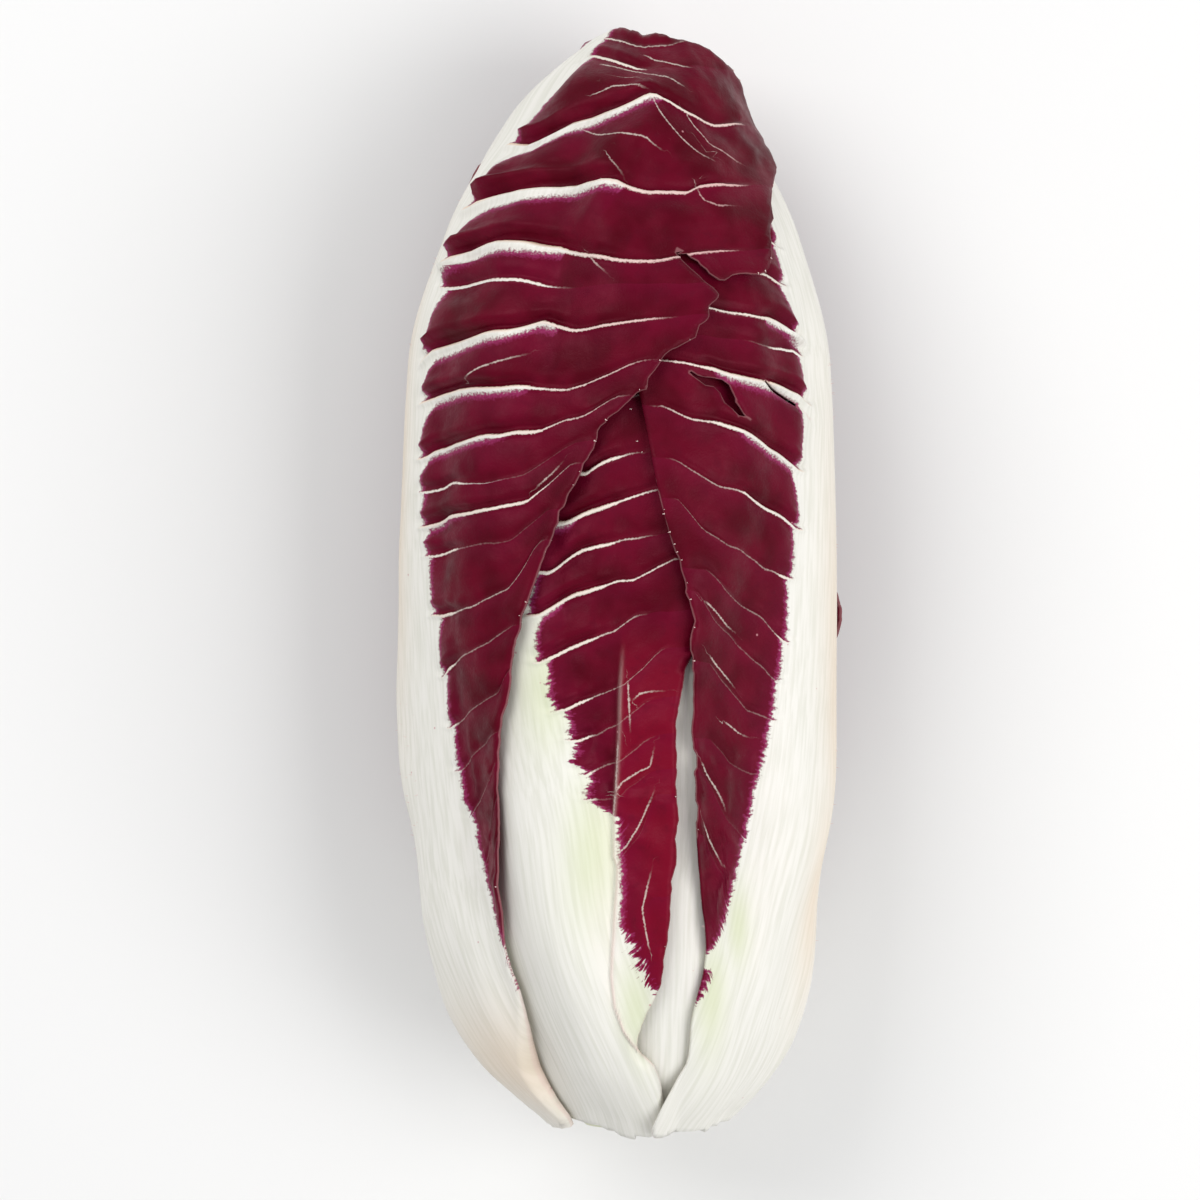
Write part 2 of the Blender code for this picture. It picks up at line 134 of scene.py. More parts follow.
SHARES = np.linspace(0.0, 1.0, 1200)
CORE_STATIONS = core_outline(SHARES)[0]
OUTER_STATIONS = place(SHARES, np.zeros_like(SHARES), np.full_like(SHARES, TYPICAL_COVER))[:, 1]
OUTER_STATIONS = np.maximum.accumulate(OUTER_STATIONS + ORIGIN[1])


def share_at(station):
    """The share of the heart's length that lies under a station on the outside of the head."""
    return np.interp(station, OUTER_STATIONS, SHARES)


def station_at(share):
    return np.interp(share, SHARES, OUTER_STATIONS)


def linear(code):
    """A colour's sRGB hex value as linear RGBA."""
    parts = [int(code[k : k + 2], 16) / 255 for k in (1, 3, 5)]
    return [p / 12.92 if p <= 0.04045 else ((p + 0.055) / 1.055) ** 2.4 for p in parts] + [1.0]


def add(tree, kind, links=None, **settings):
    """A node of a kind with its settings. links holds values, nodes or sockets for its inputs."""
    node = tree.nodes.new(kind)
    for name, value in settings.items():
        setattr(node, name, value)
    for socket, value in (links or {}).items():
        if isinstance(value, bpy.types.Node):
            value = next(o for o in value.outputs if o.enabled)
        if isinstance(value, bpy.types.NodeSocket):
            tree.links.new(value, node.inputs[socket])
        else:
            node.inputs[socket].default_value = value
    return node


def new_material(name):
    material = bpy.data.materials.new(name)
    material.use_nodes = True
    return material, material.node_tree, material.node_tree.nodes["Principled BSDF"]


def add_piece(name, node, points, faces, material):
    """A piece of the head, its points in mm, that stands for a solid of the frame."""
    mesh = bpy.data.meshes.new(name)
    mesh.from_pydata((points * MM).tolist(), [], np.asarray(faces).tolist())
    mesh.update()
    mesh.shade_smooth()
    mesh.materials.append(material)
    piece = bpy.data.objects.new(name, mesh)
    bpy.context.scene.collection.objects.link(piece)
    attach(piece, "root")
    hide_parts(node)
    return piece


def closed_rings(rings, first, last):
    """Points and triangles of a solid made of rings about the axis, closed by a point at each end."""
    rows, columns = rings.shape[:2]
    points = np.concatenate([rings.reshape(-1, 3), [first, last]])
    here = np.arange(rows * columns).reshape(rows, columns)
    on = np.roll(here, -1, axis=1)
    sides = [
        np.stack([here[:-1], on[:-1], here[1:]], -1).reshape(-1, 3),
        np.stack([on[:-1], on[1:], here[1:]], -1).reshape(-1, 3),
        np.stack([on[0], here[0], np.full(columns, rows * columns)], -1),
        np.stack([here[-1], on[-1], np.full(columns, rows * columns + 1)], -1),
    ]
    return points, np.concatenate(sides)


STEM_SIDE_ROWS = 24
STEM_RECESS = 0.006  # share of the head's length that the leaf feet stand past the cut face
STEM_FACE_ROWS = 16
STEM_COLUMNS = 120
PITH_DIP = 0.5  # mm that the pith has sunk since it was cut
KNIFE_WAVE = 0.12  # mm, the marks that the knife left
stem_top = np.interp(STEM_TOP, CORE_STATIONS, SHARES)
stem_angle = np.linspace(0, 360, STEM_COLUMNS, endpoint=False)[None, :]
stem_share = np.linspace(STEM_RECESS, stem_top, STEM_SIDE_ROWS)[:, None]
stem_share, stem_angles = np.broadcast_arrays(stem_share, stem_angle)
stem_side = place(stem_share, stem_angles, np.zeros_like(stem_angles))
stem_middle = stem_side[0].mean(0)
face_rows = []
for step in np.linspace(0.04, 0.97, STEM_FACE_ROWS):
    ring = stem_middle + (stem_side[0] - stem_middle) * step
    ring[:, 1] += PITH_DIP * (1 - step**4) + KNIFE_WAVE * np.sin(31 * step + 3 * np.radians(stem_angle[0]))
    face_rows.append(ring)
stem_rings = np.concatenate([np.stack(face_rows), stem_side])
stem_points, stem_faces = closed_rings(
    stem_rings, stem_middle + [0, PITH_DIP, 0], stem_side[-1].mean(0)
)

# Fresh-cut chicory stem: matte and moist, cream pith inside a ring of darker fibre bundles.
STEM_FIBRE = 1.111 * MM
BUNDLES_START = (6.2 * MM, 7.6 * MM)  # from the stem's middle, and the rind's start
RIND_START = (7.8 * MM, 9.2 * MM)
SMOOTH = {"interpolation_type": "SMOOTHSTEP"}
COLOUR = {"data_type": "RGBA"}
stem_material, tree, shader = new_material("fresh-cut chicory stem")
spot = add(tree, "ShaderNodeTexCoord").outputs["Object"]
offset = stem_middle * MM
centred = add(tree, "ShaderNodeVectorMath", {0: spot, 1: offset.tolist()}, operation="SUBTRACT")
apart = add(tree, "ShaderNodeSeparateXYZ", {0: centred})
flat = add(tree, "ShaderNodeCombineXYZ", {0: apart.outputs[0], 2: apart.outputs[2]})
out = add(tree, "ShaderNodeVectorMath", {0: flat}, operation="LENGTH").outputs["Value"]
fibre = add(tree, "ShaderNodeTexNoise", {"Vector": centred, "Scale": 1 / STEM_FIBRE, "Detail": 4.0})
ring = add(tree, "ShaderNodeMapRange", {0: out, 1: BUNDLES_START[0], 2: BUNDLES_START[1]}, **SMOOTH)
rind = add(tree, "ShaderNodeMapRange", {0: out, 1: RIND_START[0], 2: RIND_START[1]}, **SMOOTH)
bundles = add(tree, "ShaderNodeMath", {0: ring, 1: rind}, operation="SUBTRACT")
bundles = add(tree, "ShaderNodeMath", {0: bundles, 1: fibre}, operation="MULTIPLY")
pith = add(tree, "ShaderNodeMix", {0: fibre, 6: linear("#E9DFC0"), 7: linear("#CDB789")}, **COLOUR)
browned = add(tree, "ShaderNodeMix", {0: bundles, 6: pith, 7: linear("#8A5F33")}, **COLOUR)
stem_colour = add(tree, "ShaderNodeMix", {0: rind, 6: browned, 7: linear("#DDE0BE")}, **COLOUR)
tree.links.new(stem_colour.outputs[2], shader.inputs["Base Color"])
bump = add(tree, "ShaderNodeBump", {"Height": fibre, "Distance": 0.4 * MM, "Strength": 0.7})
tree.links.new(bump.outputs[0], shader.inputs["Normal"])
shader.inputs["Roughness"].default_value = 0.6

add_piece("cut_stem", "stem", stem_points, stem_faces, stem_material)

# The heart. Young leaves still packed round the growing point, pale pink-white and crisp, each one
# wrapped half over the last. They are grown together at the stem, so they are one solid.
DRAPE_ROWS = 300
DRAPE_COLUMNS = 480
DRAPE_REACH = 6
YOUNG_LEAVES = 5
YOUNG_LEAF_TURN = 137.5
YOUNG_LEAF_FIRST = 70.0
YOUNG_LEAF_REACH = 82.0
YOUNG_LEAF_STEP = 1.1
YOUNG_RIB_HEIGHT = 2.2
YOUNG_RIB_HALF = 6.0
HEART_ROWS = 110
HEART_COLUMNS = 180
HEART_END = 0.992


def spread(field, reach, rule):
    """Each cell becomes the rule (np.maximum, or np.add for a mean) over its neighbours within reach."""
    for axis in (0, 1):
        if axis == 0:
            padded = np.pad(field, ((reach, reach), (0, 0)), mode="edge")
            slices = [padded[k : k + field.shape[0]] for k in range(2 * reach + 1)]
        else:
            slices = [np.roll(field, k, axis=1) for k in range(-reach, reach + 1)]
        field = rule.reduce(slices)
        if rule is np.add:
            field = field / len(slices)
    return field


def soften(field):
    return spread(spread(field, DRAPE_REACH, np.add), DRAPE_REACH, np.add)


def read_field(field, share, angle):
    """The field's value between its cells."""
    row = np.clip(share * (DRAPE_ROWS - 1), 0, DRAPE_ROWS - 1.0001)
    column = ((angle + 180) % 360) * DRAPE_COLUMNS / 360
    r, c = np.floor(row).astype(int), np.floor(column).astype(int)
    u, v = row - r, column - c
    c, d = c % DRAPE_COLUMNS, (c + 1) % DRAPE_COLUMNS
    before = (1 - v) * field[r, c] + v * field[r, d]
    after = (1 - v) * field[r + 1, c] + v * field[r + 1, d]
    return (1 - u) * before + u * after


drape_shares = np.linspace(0, 1, DRAPE_ROWS)[:, None]
drape_angles = np.linspace(-180, 180, DRAPE_COLUMNS, endpoint=False)[None, :]
young = np.zeros((DRAPE_ROWS, DRAPE_COLUMNS))
station = station_at(drape_shares)
radius = core_outline(drape_shares)[1] + 1.0
for k in range(YOUNG_LEAVES):
    middle = YOUNG_LEAF_FIRST + k * YOUNG_LEAF_TURN
    off = (drape_angles - middle + 180) % 360 - 180
    reach = YOUNG_LEAF_REACH * through(((-110, 0.35), (-20, 1.0), (60, 1.0), (110, 0.8)), station)
    hump = np.maximum(1 - (np.radians(off) * radius / YOUNG_RIB_HALF) ** 2, 0) ** 1.5
    rib = YOUNG_RIB_HEIGHT * hump * through(((-110, 1), (20, 0.8), (110, 0)), station)
    young = np.where(np.abs(off) < reach, soften(young) + YOUNG_LEAF_STEP + rib, young)
heart_foot = np.interp(STEM_TOP + 0.4, CORE_STATIONS, SHARES)
cover = soften(young) * np.clip((drape_shares - heart_foot) / 0.05, 0, 1)

heart_share = np.linspace(heart_foot, HEART_END, HEART_ROWS)[:, None]
heart_angle = np.linspace(0, 360, HEART_COLUMNS, endpoint=False)[None, :]
heart_share, heart_angle = np.broadcast_arrays(heart_share, heart_angle)
heart_rings = place(heart_share, heart_angle, read_field(cover, heart_share, heart_angle))
heart_tip = place(np.ones(1), np.zeros(1), np.zeros(1))[0]
heart_points, heart_faces = closed_rings(heart_rings, heart_rings[0].mean(0), heart_tip)

# Young chicory leaf: satin, nearly white at the foot and pink to burgundy where light reached it.
BLUSH_CLOUD = 8.333 * MM
BLUSH_WANDER = 60 * MM  # how far the blush wanders along the head
BLUSH_START = -20 * MM
BLUSH_FULL = 100 * MM
heart_material, tree, shader = new_material("young chicory leaf")
spot = add(tree, "ShaderNodeTexCoord").outputs["Object"]
along = add(tree, "ShaderNodeSeparateXYZ", {0: spot}).outputs[1]
cloud = add(tree, "ShaderNodeTexNoise", {"Vector": spot, "Scale": 1 / BLUSH_CLOUD, "Detail": 3.0})
cloudy = add(tree, "ShaderNodeMath", {0: cloud, 1: BLUSH_WANDER, 2: along}, operation="MULTIPLY_ADD")
redder = add(tree, "ShaderNodeMapRange", {0: cloudy, 1: BLUSH_START, 2: BLUSH_FULL})
blush = add(tree, "ShaderNodeMix", {0: redder, 6: linear("#F0E6DA"), 7: linear("#8E1F3E")}, **COLOUR)
tree.links.new(blush.outputs[2], shader.inputs["Base Color"])
shader.inputs["Roughness"].default_value = 0.42

add_piece("young_heart", "heart", heart_points, heart_faces, heart_material)

# The inner leaves. Three leaves lie round the heart, hidden but for one white rib on top. A leaf is one
# thin burgundy blade on a thick white rib, its veins running out from the rib to the waved edge.
# What every leaf shares is set out here: how it drapes, its veins, its cut edge, its finish.
ARC = 38.0  # mm, the radius at which an angle about the head is turned into a length across it
DEGREE = math.radians(1.0) * ARC  # mm across the head for a degree
LAYER_GAP = 0.5
DRAPE_STIFFNESS = 5
LEAST_GAP = 0.3
BLADE_THICKNESS = 0.8
EDGE_THICKNESS = 0.3
RIB_THICKNESS = ((-106, 2.6), (-94, 4.6), (-60, 4.6), (0, 3.6), (50, 2.8), (85, 1.6), (106, 1))
RIB_ROUNDNESS = 2.5
RIB_WRINKLE = 0.04
RIDGE_HEIGHT = 0.9  # mm that a vein stands up for each mm of its width
GROOVE_DEPTH = 0.8  # the crease just above a vein, in mm
PLEAT_HEIGHT = 0.8  # the blade's rise above that crease, for each mm of the vein's width
LUMP_HEIGHT = 0.34
LUMP_SIZE = (6.5, 4.6)  # mm across and along the head
DENT_HEIGHT = 0.15
DENT_SIZE = (2.4, 1.9)
CRUMPLE_SIZE = (5.0, 7.5)
CRUMPLED_BELOW = -22  # station, nearer the foot than this the blade is crumpled
DEEPEST_DENT = 0.25
THINNEST = 0.25  # mm of leaf under the deepest groove
TIP_ROUNDING = 0.11
FOOT_ROUNDING = 0.012
EDGE_LIFT = 0.7  # mm that the free edge stands off what is under it
EDGE_LIFT_REACH = 4.0
CURL_REACH = 2.6
VEIN_THINS = 0.45  # share of the way out from which a vein without a knot is thin
VEIN_WANDER = 0.25
LEAST_VEIN_GAP = 1.6
BAND_WIDTH = 1.4  # of the white band below a vein, for each mm of the vein's own width
BAND_VEINS = (0.45, 1.3)  # the widths of veins that start to have a band, and that have it in full
NIBBLES = ((0.30, 1.1), (0.55, 4.5))  # how deep the free edge is waved, and how far apart along it
NIBBLED_FROM = -96  # station, with the full depth NIBBLED_REACH nearer the tip
NIBBLED_REACH = 20
VEIN_ROW = 0.25  # mm between rows beside a vein, and how fast they spread out from it
ROW_GROWTH = 0.26
PLAIN_ROW = 1.0  # mm between rows away from the veins
PAD = 3.2  # degrees that the grid runs on past the leaf's smooth margin, for the teeth
TABLE_STEPS = 45
TABLE_REACH = 1.15  # how far out the veins are followed, as a share of the way to the margin
GRID_END = 118.0  # station, past both ends of every leaf
WIDEST = 10.0  # station at which a leaf's columns are spaced
OUTLINE_STEP = 0.4  # mm between points of a leaf's cut edge
FEW = 4000  # points measured at a time
STRIPS_IN_ROW = 120  # strips of the rim in a row of the UV map
MARGIN_INSET = 0.35  # mm from the free edge to where a tooth is rooted
MARGIN_FOOT = -80.0  # the blade has no teeth nearer the foot than this
SLIT_MOUTH = 2.4  # mm between two lips that are too close for teeth
SLIT_STEPS = 8  # points along the edge that count as the same lip
SAME_WAY_STEPS = 4  # points along the edge over which it has to run on straight to bear a tooth
LEAF_SEED = 11


def lattice_noise(x, y, seed):
    """Smooth noise from -1 to 1 with one lump for each unit of x and y."""
    table = np.random.default_rng(seed).uniform(-1, 1, (256, 256))
    i, j = np.floor(x).astype(int), np.floor(y).astype(int)
    u, v = x - i, y - j
    u, v = u * u * (3 - 2 * u), v * v * (3 - 2 * v)
    i, j, k, m = i % 256, j % 256, (i + 1) % 256, (j + 1) % 256
    return (1 - u) * ((1 - v) * table[i, j] + v * table[i, m]) + u * (
        (1 - v) * table[k, j] + v * table[k, m]
    )


def ramp(value, low, high):
    """A smooth step from 0 at low to 1 at high."""
    t = np.clip((value - low) / (high - low), 0, 1)
    return t * t * (3 - 2 * t)


def drape(under):
    """The height of a sheet laid over a surface: it rests on what stands out and bridges the rest."""
    top = under.max() + 1.0
    high = top * soften((under / top) ** DRAPE_STIFFNESS) ** (1 / DRAPE_STIFFNESS)
    left_out = np.maximum(under - high, 0)
    return high + soften(spread(left_out, DRAPE_REACH, np.maximum))


def plain_veins(first, last, count, slope):
    """Evenly spaced veins, from (station, share of the way out to the margin) points."""
    lines = []
    for k, foot in enumerate(np.linspace(first, last, count)):
        rise = slope * (1 - 0.75 * k / count)
        lines.append(((foot, 0.2), (foot + 0.45 * rise, 0.55), (foot + rise, 1.0)))
    return lines


def vein_table(leaf):
    """Stations of the breaks between rows, foot to tip, by the way out from the rib, and vein widths."""
    out = np.linspace(0, TABLE_REACH, TABLE_STEPS)
    lines = []
    knots = leaf.get("vein_knots", [None] * len(leaf["veins"]))
    for k, (vein, width, knot) in enumerate(zip(leaf["veins"], leaf["vein_widths"], knots)):
        station, way = np.array(vein, float).T
        thin = VEIN_THINS
        if leaf["veins_in_degrees"]:
            angle = way
            side = leaf["right"] if leaf["veins_side"] > 0 else leaf["left"]
            rib = through(leaf["rib"], station)
            way = (angle - rib) / (through(side, station) - rib)
            if knot is not None:
                thin = way[np.argmin(np.abs(angle - knot))]
        order = np.argsort(way)
        station, way = station[order], way[order]
        slope = np.clip((station[-1] - station[-2]) / max(way[-1] - way[-2], 1e-3), 0, 5)
        line = np.interp(out, way, station)
        line = np.where(out > way[-1], station[-1] + slope * (out - way[-1]), line)
        line = line + VEIN_WANDER * lattice_noise(out * 18, np.full_like(out, 7.3 * k), leaf["seed"])
        band = (BAND_WIDTH * width * ramp(width, *BAND_VEINS), 8.0 * width + 1)
        if knot is not None:
            radius = core_outline(share_at(station[0]))[1] * (1 + FLATNESS) / 2 + TYPICAL_COVER / 2
            band = (band[0], abs(knot - angle[0]) * math.radians(1) * radius)
        width = width * (1 - 0.6 * ramp(out, thin - 0.03, thin + 0.03)) * (1 - 0.35 * ramp(out, 0, 1))
        lines.append((line, width * (1 - ramp(out, way[-1] - 0.06, way[-1] + 0.12)), band))
    lines.sort(key=lambda item: item[0][TABLE_STEPS // 3])
    bare, no_band = np.zeros(TABLE_STEPS), (0.0, 1.0)
    first, last = lines[0][0], lines[-1][0]
    fine = bare + 0.3 * (1 - out / TABLE_REACH)
    head = [((first + GRID_END) * k / 4 - GRID_END, bare, no_band) for k in range(4)]
    tail = [(last + (GRID_END - last) * k / 3, fine, no_band) for k in (1, 2)]
    tail.append((np.full(TABLE_STEPS, GRID_END), bare, no_band))
    lines = head + lines + tail
    table = np.stack([line for line, _, _ in lines])
    for k in range(1, len(table)):
        table[k] = np.maximum(table[k], table[k - 1] + LEAST_VEIN_GAP)
    return out, table, np.stack([width for _, width, _ in lines]), np.array([band for _, _, band in lines])


def leaf_rows(table, widths):
    """The rows of a leaf's grid as phases: whole numbers are veins, with rows crowded about them."""
    rows = []
    middle = table[:, TABLE_STEPS // 3]
    for k, gap in enumerate(np.diff(middle)):
        away = np.linspace(0, gap, 200)
        spacing = np.full_like(away, PLAIN_ROW)
        for vein, distance in ((k, away), (k + 1, gap - away)):
            if widths[vein].max() > 0:
                spacing = np.minimum(spacing, VEIN_ROW + ROW_GROWTH * distance)
        count = np.concatenate([[0], np.cumsum(np.diff(away) / spacing[1:])])
        whole = max(int(round(count[-1])), 1)
        rows += list(k + np.interp(np.arange(whole) / whole, count / count[-1], away) / gap)
    return np.array(rows + [len(table) - 1.0])


def leaf_columns(leaf):
    """The columns of a leaf's grid, as shares of the way from the rib to the margin, left ones below 0."""
    sides = []
    for side, sign in (("left", -1), ("right", 1)):
        wide = abs(through(leaf[side], WIDEST) - through(leaf["rib"], WIDEST))
        way = np.linspace(0, 1 + PAD / wide, 400)
        spacing = np.interp(way * wide * DEGREE, *leaf["column_" + side])
        count = np.concatenate([[0], np.cumsum(np.diff(way) * wide * DEGREE / spacing[1:])])
        sides.append(sign * np.interp(np.arange(0, int(count[-1]) + 1), count, way))
    return np.concatenate([sides[0][:0:-1], sides[1]])


def outline(leaf):
    """The leaf's cut edge as a closed line of (mm across, station), and which points are at its foot."""
    rng = np.random.default_rng(leaf["seed"])
    lines = {}
    for side in ("left", "right"):
        if side + "_edge" in leaf:
            station, angle = np.array(leaf[side + "_edge"], float).T
        else:
            station = np.arange(leaf["foot"] + 3, leaf["tip"] - 12, 2.0)
            angle = through(leaf[side], station)
        lines[side] = np.column_stack([angle, station])
    across = np.linspace(-1, 1, 61)
    ends = []
    tip_rounding = leaf.get("tip_rounding", TIP_ROUNDING)
    for rounding, at, power in ((FOOT_ROUNDING, leaf["foot"], 2), (-tip_rounding, leaf["tip"], 2.5)):
        share = share_at(at) + rounding * np.abs(across) ** power
        station = station_at(share)
        rib = through(leaf["rib"], station)
        left, right = through(leaf["left"], station), through(leaf["right"], station)
        angle = rib + across * np.where(across < 0, rib - left, right - rib)
        ends.append(np.column_stack([angle, station]))
    foot, tip = ends
    right = lines["right"][
        (lines["right"][:, 1] > foot[-1, 1] + 1) & (lines["right"][:, 1] < tip[-1, 1] - 1)
    ]
    left = lines["left"][
        (lines["left"][:, 1] > foot[0, 1] + 1) & (lines["left"][:, 1] < tip[0, 1] - 1)
    ]
    corners = np.concatenate([foot, right, tip[::-1], left[::-1]])
    kind = np.concatenate([np.ones(len(foot)), np.zeros(len(right) + len(tip) + len(left))])
    corners[:, 0] *= DEGREE
    corners = np.concatenate([corners, corners[:1]])
    kind = np.append(kind, 1.0)
    run = np.concatenate([[0], np.cumsum(np.hypot(*np.diff(corners, axis=0).T))])
    at = np.arange(0, run[-1], OUTLINE_STEP)
    line = np.column_stack([np.interp(at, run, corners[:, 0]), np.interp(at, run, corners[:, 1])])
    at_foot = np.interp(at, run, kind) > 0.5
    way = np.roll(line, -1, 0) - np.roll(line, 1, 0)
    way /= np.maximum(np.linalg.norm(way, axis=1, keepdims=True), 1e-6)
    outwards = np.column_stack([way[:, 1], -way[:, 0]])
    phase = rng.uniform(0, 100)
    waves = np.zeros_like(at)
    for k, (deep, apart) in enumerate(NIBBLES):
        waves += deep * lattice_noise(at / apart, np.full_like(at, phase), leaf["seed"] + 1 + k)
    waves *= np.clip((line[:, 1] - NIBBLED_FROM) / NIBBLED_REACH, 0, 1) * ~at_foot
    return line + outwards * (waves * leaf["raggedness"])[:, None], at_foot


def segment_distance(points, line, closed=True):
    """Each point's distance to a line, and the number of its nearest segment."""
    start = line if closed else line[:-1]
    end = np.roll(line, -1, 0) if closed else line[1:]
    way = end - start
    length = np.maximum((way**2).sum(1), 1e-9)
    nearest = np.full(len(points), np.inf)
    number = np.zeros(len(points), int)
    for k in range(0, len(points), FEW):
        some = points[k : k + FEW, None, :] - start[None]
        t = np.clip((some * way).sum(-1) / length, 0, 1)
        gap = np.linalg.norm(some - t[..., None] * way, axis=-1)
        number[k : k + FEW] = gap.argmin(1)
        nearest[k : k + FEW] = gap.min(1)
    return nearest, number


def inside(points, line):
    """Whether each point lies inside a closed line."""
    x0, y0 = line.T
    x1, y1 = np.roll(line, -1, 0).T
    result = np.zeros(len(points), bool)
    for k in range(0, len(points), FEW):
        x, y = points[k : k + FEW, 0, None], points[k : k + FEW, 1, None]
        crosses = (y0 > y) != (y1 > y)
        at = x0 + (y - y0) / np.where(y1 == y0, 1e-9, y1 - y0) * (x1 - x0)
        result[k : k + FEW] = (crosses & (x < at)).sum(1) % 2 == 1
    return result


def edge_distances(leaf, angle, station):
    """How far inside the leaf each point is, in mm, and how far it is from the leaf's free edge."""
    line, at_foot = outline(leaf)
    points = np.column_stack([angle.ravel() * DEGREE, station.ravel()])
    gap, number = segment_distance(points, line)
    signed = np.where(inside(points, line), gap, -gap)
    free, _ = segment_distance(points, line[~at_foot], closed=False)
    for crack in leaf.get("cracks", ()):
        path = np.array([(a * DEGREE, s) for s, a in crack["line"]], float)
        apart, near = segment_distance(points, path, closed=False)
        if crack["wide"] > 0:
            half = np.interp(near, [0, len(path) / 2 - 1, len(path) - 2], [0.3, crack["wide"], 0.15])
            apart = apart - half
            signed = np.minimum(signed, apart)
        free = np.minimum(free, np.maximum(apart, 0))
    return signed.reshape(angle.shape), free.reshape(angle.shape)


def snap(signed, fields):
    """Moves grid points that lie just off the cut edge onto it, with all the fields they carry."""
    best = np.full(signed.shape, 0.5)
    moved = [field.copy() for field in fields]
    hit = np.zeros(signed.shape, bool)
    rows, columns = signed.shape
    for dr, dc in ((0, 1), (0, -1), (1, 0), (-1, 0), (1, -1), (-1, 1)):
        r0, r1 = max(0, -dr), rows - max(0, dr)
        c0, c1 = max(0, -dc), columns - max(0, dc)
        here = (slice(r0, r1), slice(c0, c1))
        there = (slice(r0 + dr, r1 + dr), slice(c0 + dc, c1 + dc))
        a, b = signed[here], signed[there]
        crossing = (a > 0) != (b > 0)
        t = np.where(crossing, a / np.where(crossing, a - b, 1), 1.0)
        better = crossing & (t <= best[here])
        best[here] = np.where(better, t, best[here])
        hit[here] |= better
        for source, target in zip(fields, moved):
            target[here] = np.where(better, source[here] + t * (source[there] - source[here]), target[here])
    return np.where(hit, 0.0, signed), moved


def sheet_faces(near, far, count):
    """Triangles of a closed sheet over the kept halves of a grid's cells, and the rim's own triangles."""
    rows, columns = near.shape
    index = np.arange((rows + 1) * (columns + 1)).reshape(rows + 1, columns + 1)
    a, b, d, e = index[:-1, :-1], index[:-1, 1:], index[1:, :-1], index[1:, 1:]
    upper = np.concatenate([np.stack([a, b, d], -1)[near], np.stack([b, e, d], -1)[far]])
    sides = np.concatenate([upper[:, [0, 1]], upper[:, [1, 2]], upper[:, [2, 0]]])
    codes = sides[:, 0].astype(np.int64) * count + sides[:, 1]
    back = sides[:, 1].astype(np.int64) * count + sides[:, 0]
    free = sides[~np.isin(codes, back)]
    lower = upper[:, ::-1] + count
    first = np.column_stack([free[:, 1], free[:, 0], free[:, 0] + count])
    second = np.column_stack([free[:, 1], free[:, 0] + count, free[:, 1] + count])
    return upper, lower, np.concatenate([first, second])


def rounded_off(distance, reach):
    """From 0 at an edge to 1 inside it, along a quarter circle."""
    t = np.clip(distance / reach, 0, 1)
    return np.sqrt(np.maximum(1 - (1 - t) ** 2, 0))


def rib_red(leaf, side, station):
    """The angle at which the blade's red starts on one side of the rib."""
    if side + "_red" in leaf:
        points = np.array(leaf[side + "_red"], float)
        points = points[np.argsort(points[:, 0])]
        return np.interp(station, points[:, 0], points[:, 1])
    half = through(leaf["rib_half"], station) / DEGREE
    sign = 1 if side == "right" else -1
    edge = through(leaf["rib"], station) + sign * half * 0.9
    return edge + sign * 40 * np.clip((-66 - station) / 14, 0, 1)


def side_branches(leaf, angle, station):
    """The signed distance in mm to the nearest fine branch between the veins, and how strongly it shows."""
    points = np.column_stack([angle.ravel() * DEGREE, station.ravel()])
    off, shows = np.full(len(points), 9.0), np.zeros(len(points))
    for branch in leaf.get("branches", ()):
        path = np.array([(a * DEGREE, s) for s, a in branch], float)
        apart, near = segment_distance(points, path, closed=False)
        way = path[near + 1] - path[near]
        some = points - path[near]
        side = np.sign(way[:, 0] * some[:, 1] - way[:, 1] * some[:, 0])
        end = np.linalg.norm(points - path[-1], axis=1)
        start = np.linalg.norm(points - path[0], axis=1)
        past = np.minimum(ramp(end, 0.2, 5.0), ramp(start, 0.2, 1.4))
        better = apart < np.abs(off)
        off = np.where(better, np.where(side == 0, 1, side) * apart, off)
        shows = np.where(better, (1 - ramp(apart, 1.0, 2.0)) * past, shows)
    return off.reshape(angle.shape), shows.reshape(angle.shape)


def spots_of(leaf, name, angle, station):
    """How much of a blush lies on each point, from (station, angle, mm across, mm along) spots."""
    total = np.zeros_like(angle)
    for at, turn, wide, long in leaf.get(name, ()):
        away = ((angle - turn) * DEGREE / wide) ** 2 + ((station - at) / long) ** 2
        total = np.maximum(total, np.exp(-away))
    return total


def margin_of(leaf, cover):
    """Points in mm along the leaf's free edge, and the way out from the leaf at each."""
    line, at_foot = outline(leaf)
    way = np.roll(line, -1, 0) - np.roll(line, 1, 0)
    way /= np.maximum(np.linalg.norm(way, axis=1, keepdims=True), 1e-6)
    out = np.column_stack([way[:, 1], -way[:, 0]])
    inner = line - MARGIN_INSET * out
    height = read_field(cover, share_at(inner[:, 1]), inner[:, 0] / DEGREE)
    ends = [place(share_at(at[:, 1]), at[:, 0] / DEGREE, height) for at in (inner, line + out)]
    away = ends[1] - ends[0]
    away /= np.linalg.norm(away, axis=1, keepdims=True)
    straight = (way * np.roll(way, SAME_WAY_STEPS, 0)).sum(1) > 0.5
    # The lips of a slit face each other closely, and have no room for teeth.
    count = np.arange(len(line))
    steps = np.abs(count[:, None] - count)
    steps = np.minimum(steps, len(line) - steps)
    apart = np.linalg.norm(line[:, None] - line, axis=2)
    open_edge = np.where(steps > SLIT_STEPS, apart, SLIT_MOUTH).min(1) >= SLIT_MOUTH
    shown = ~at_foot & straight & open_edge & (ends[0][:, 1] > MARGIN_FOOT)
    return ends[0][shown], away[shown]


LEAF_FACTS = (
    "phase",
    "vein_gap",
    "vein_width",
    "red",
    "from_rib",
    "free",
    "branch",
    "branch_shows",
    "fringe",
    "wing_crimson_and_light",
    "crest_highlight",
    "band",
    "green",
    "beige",
)


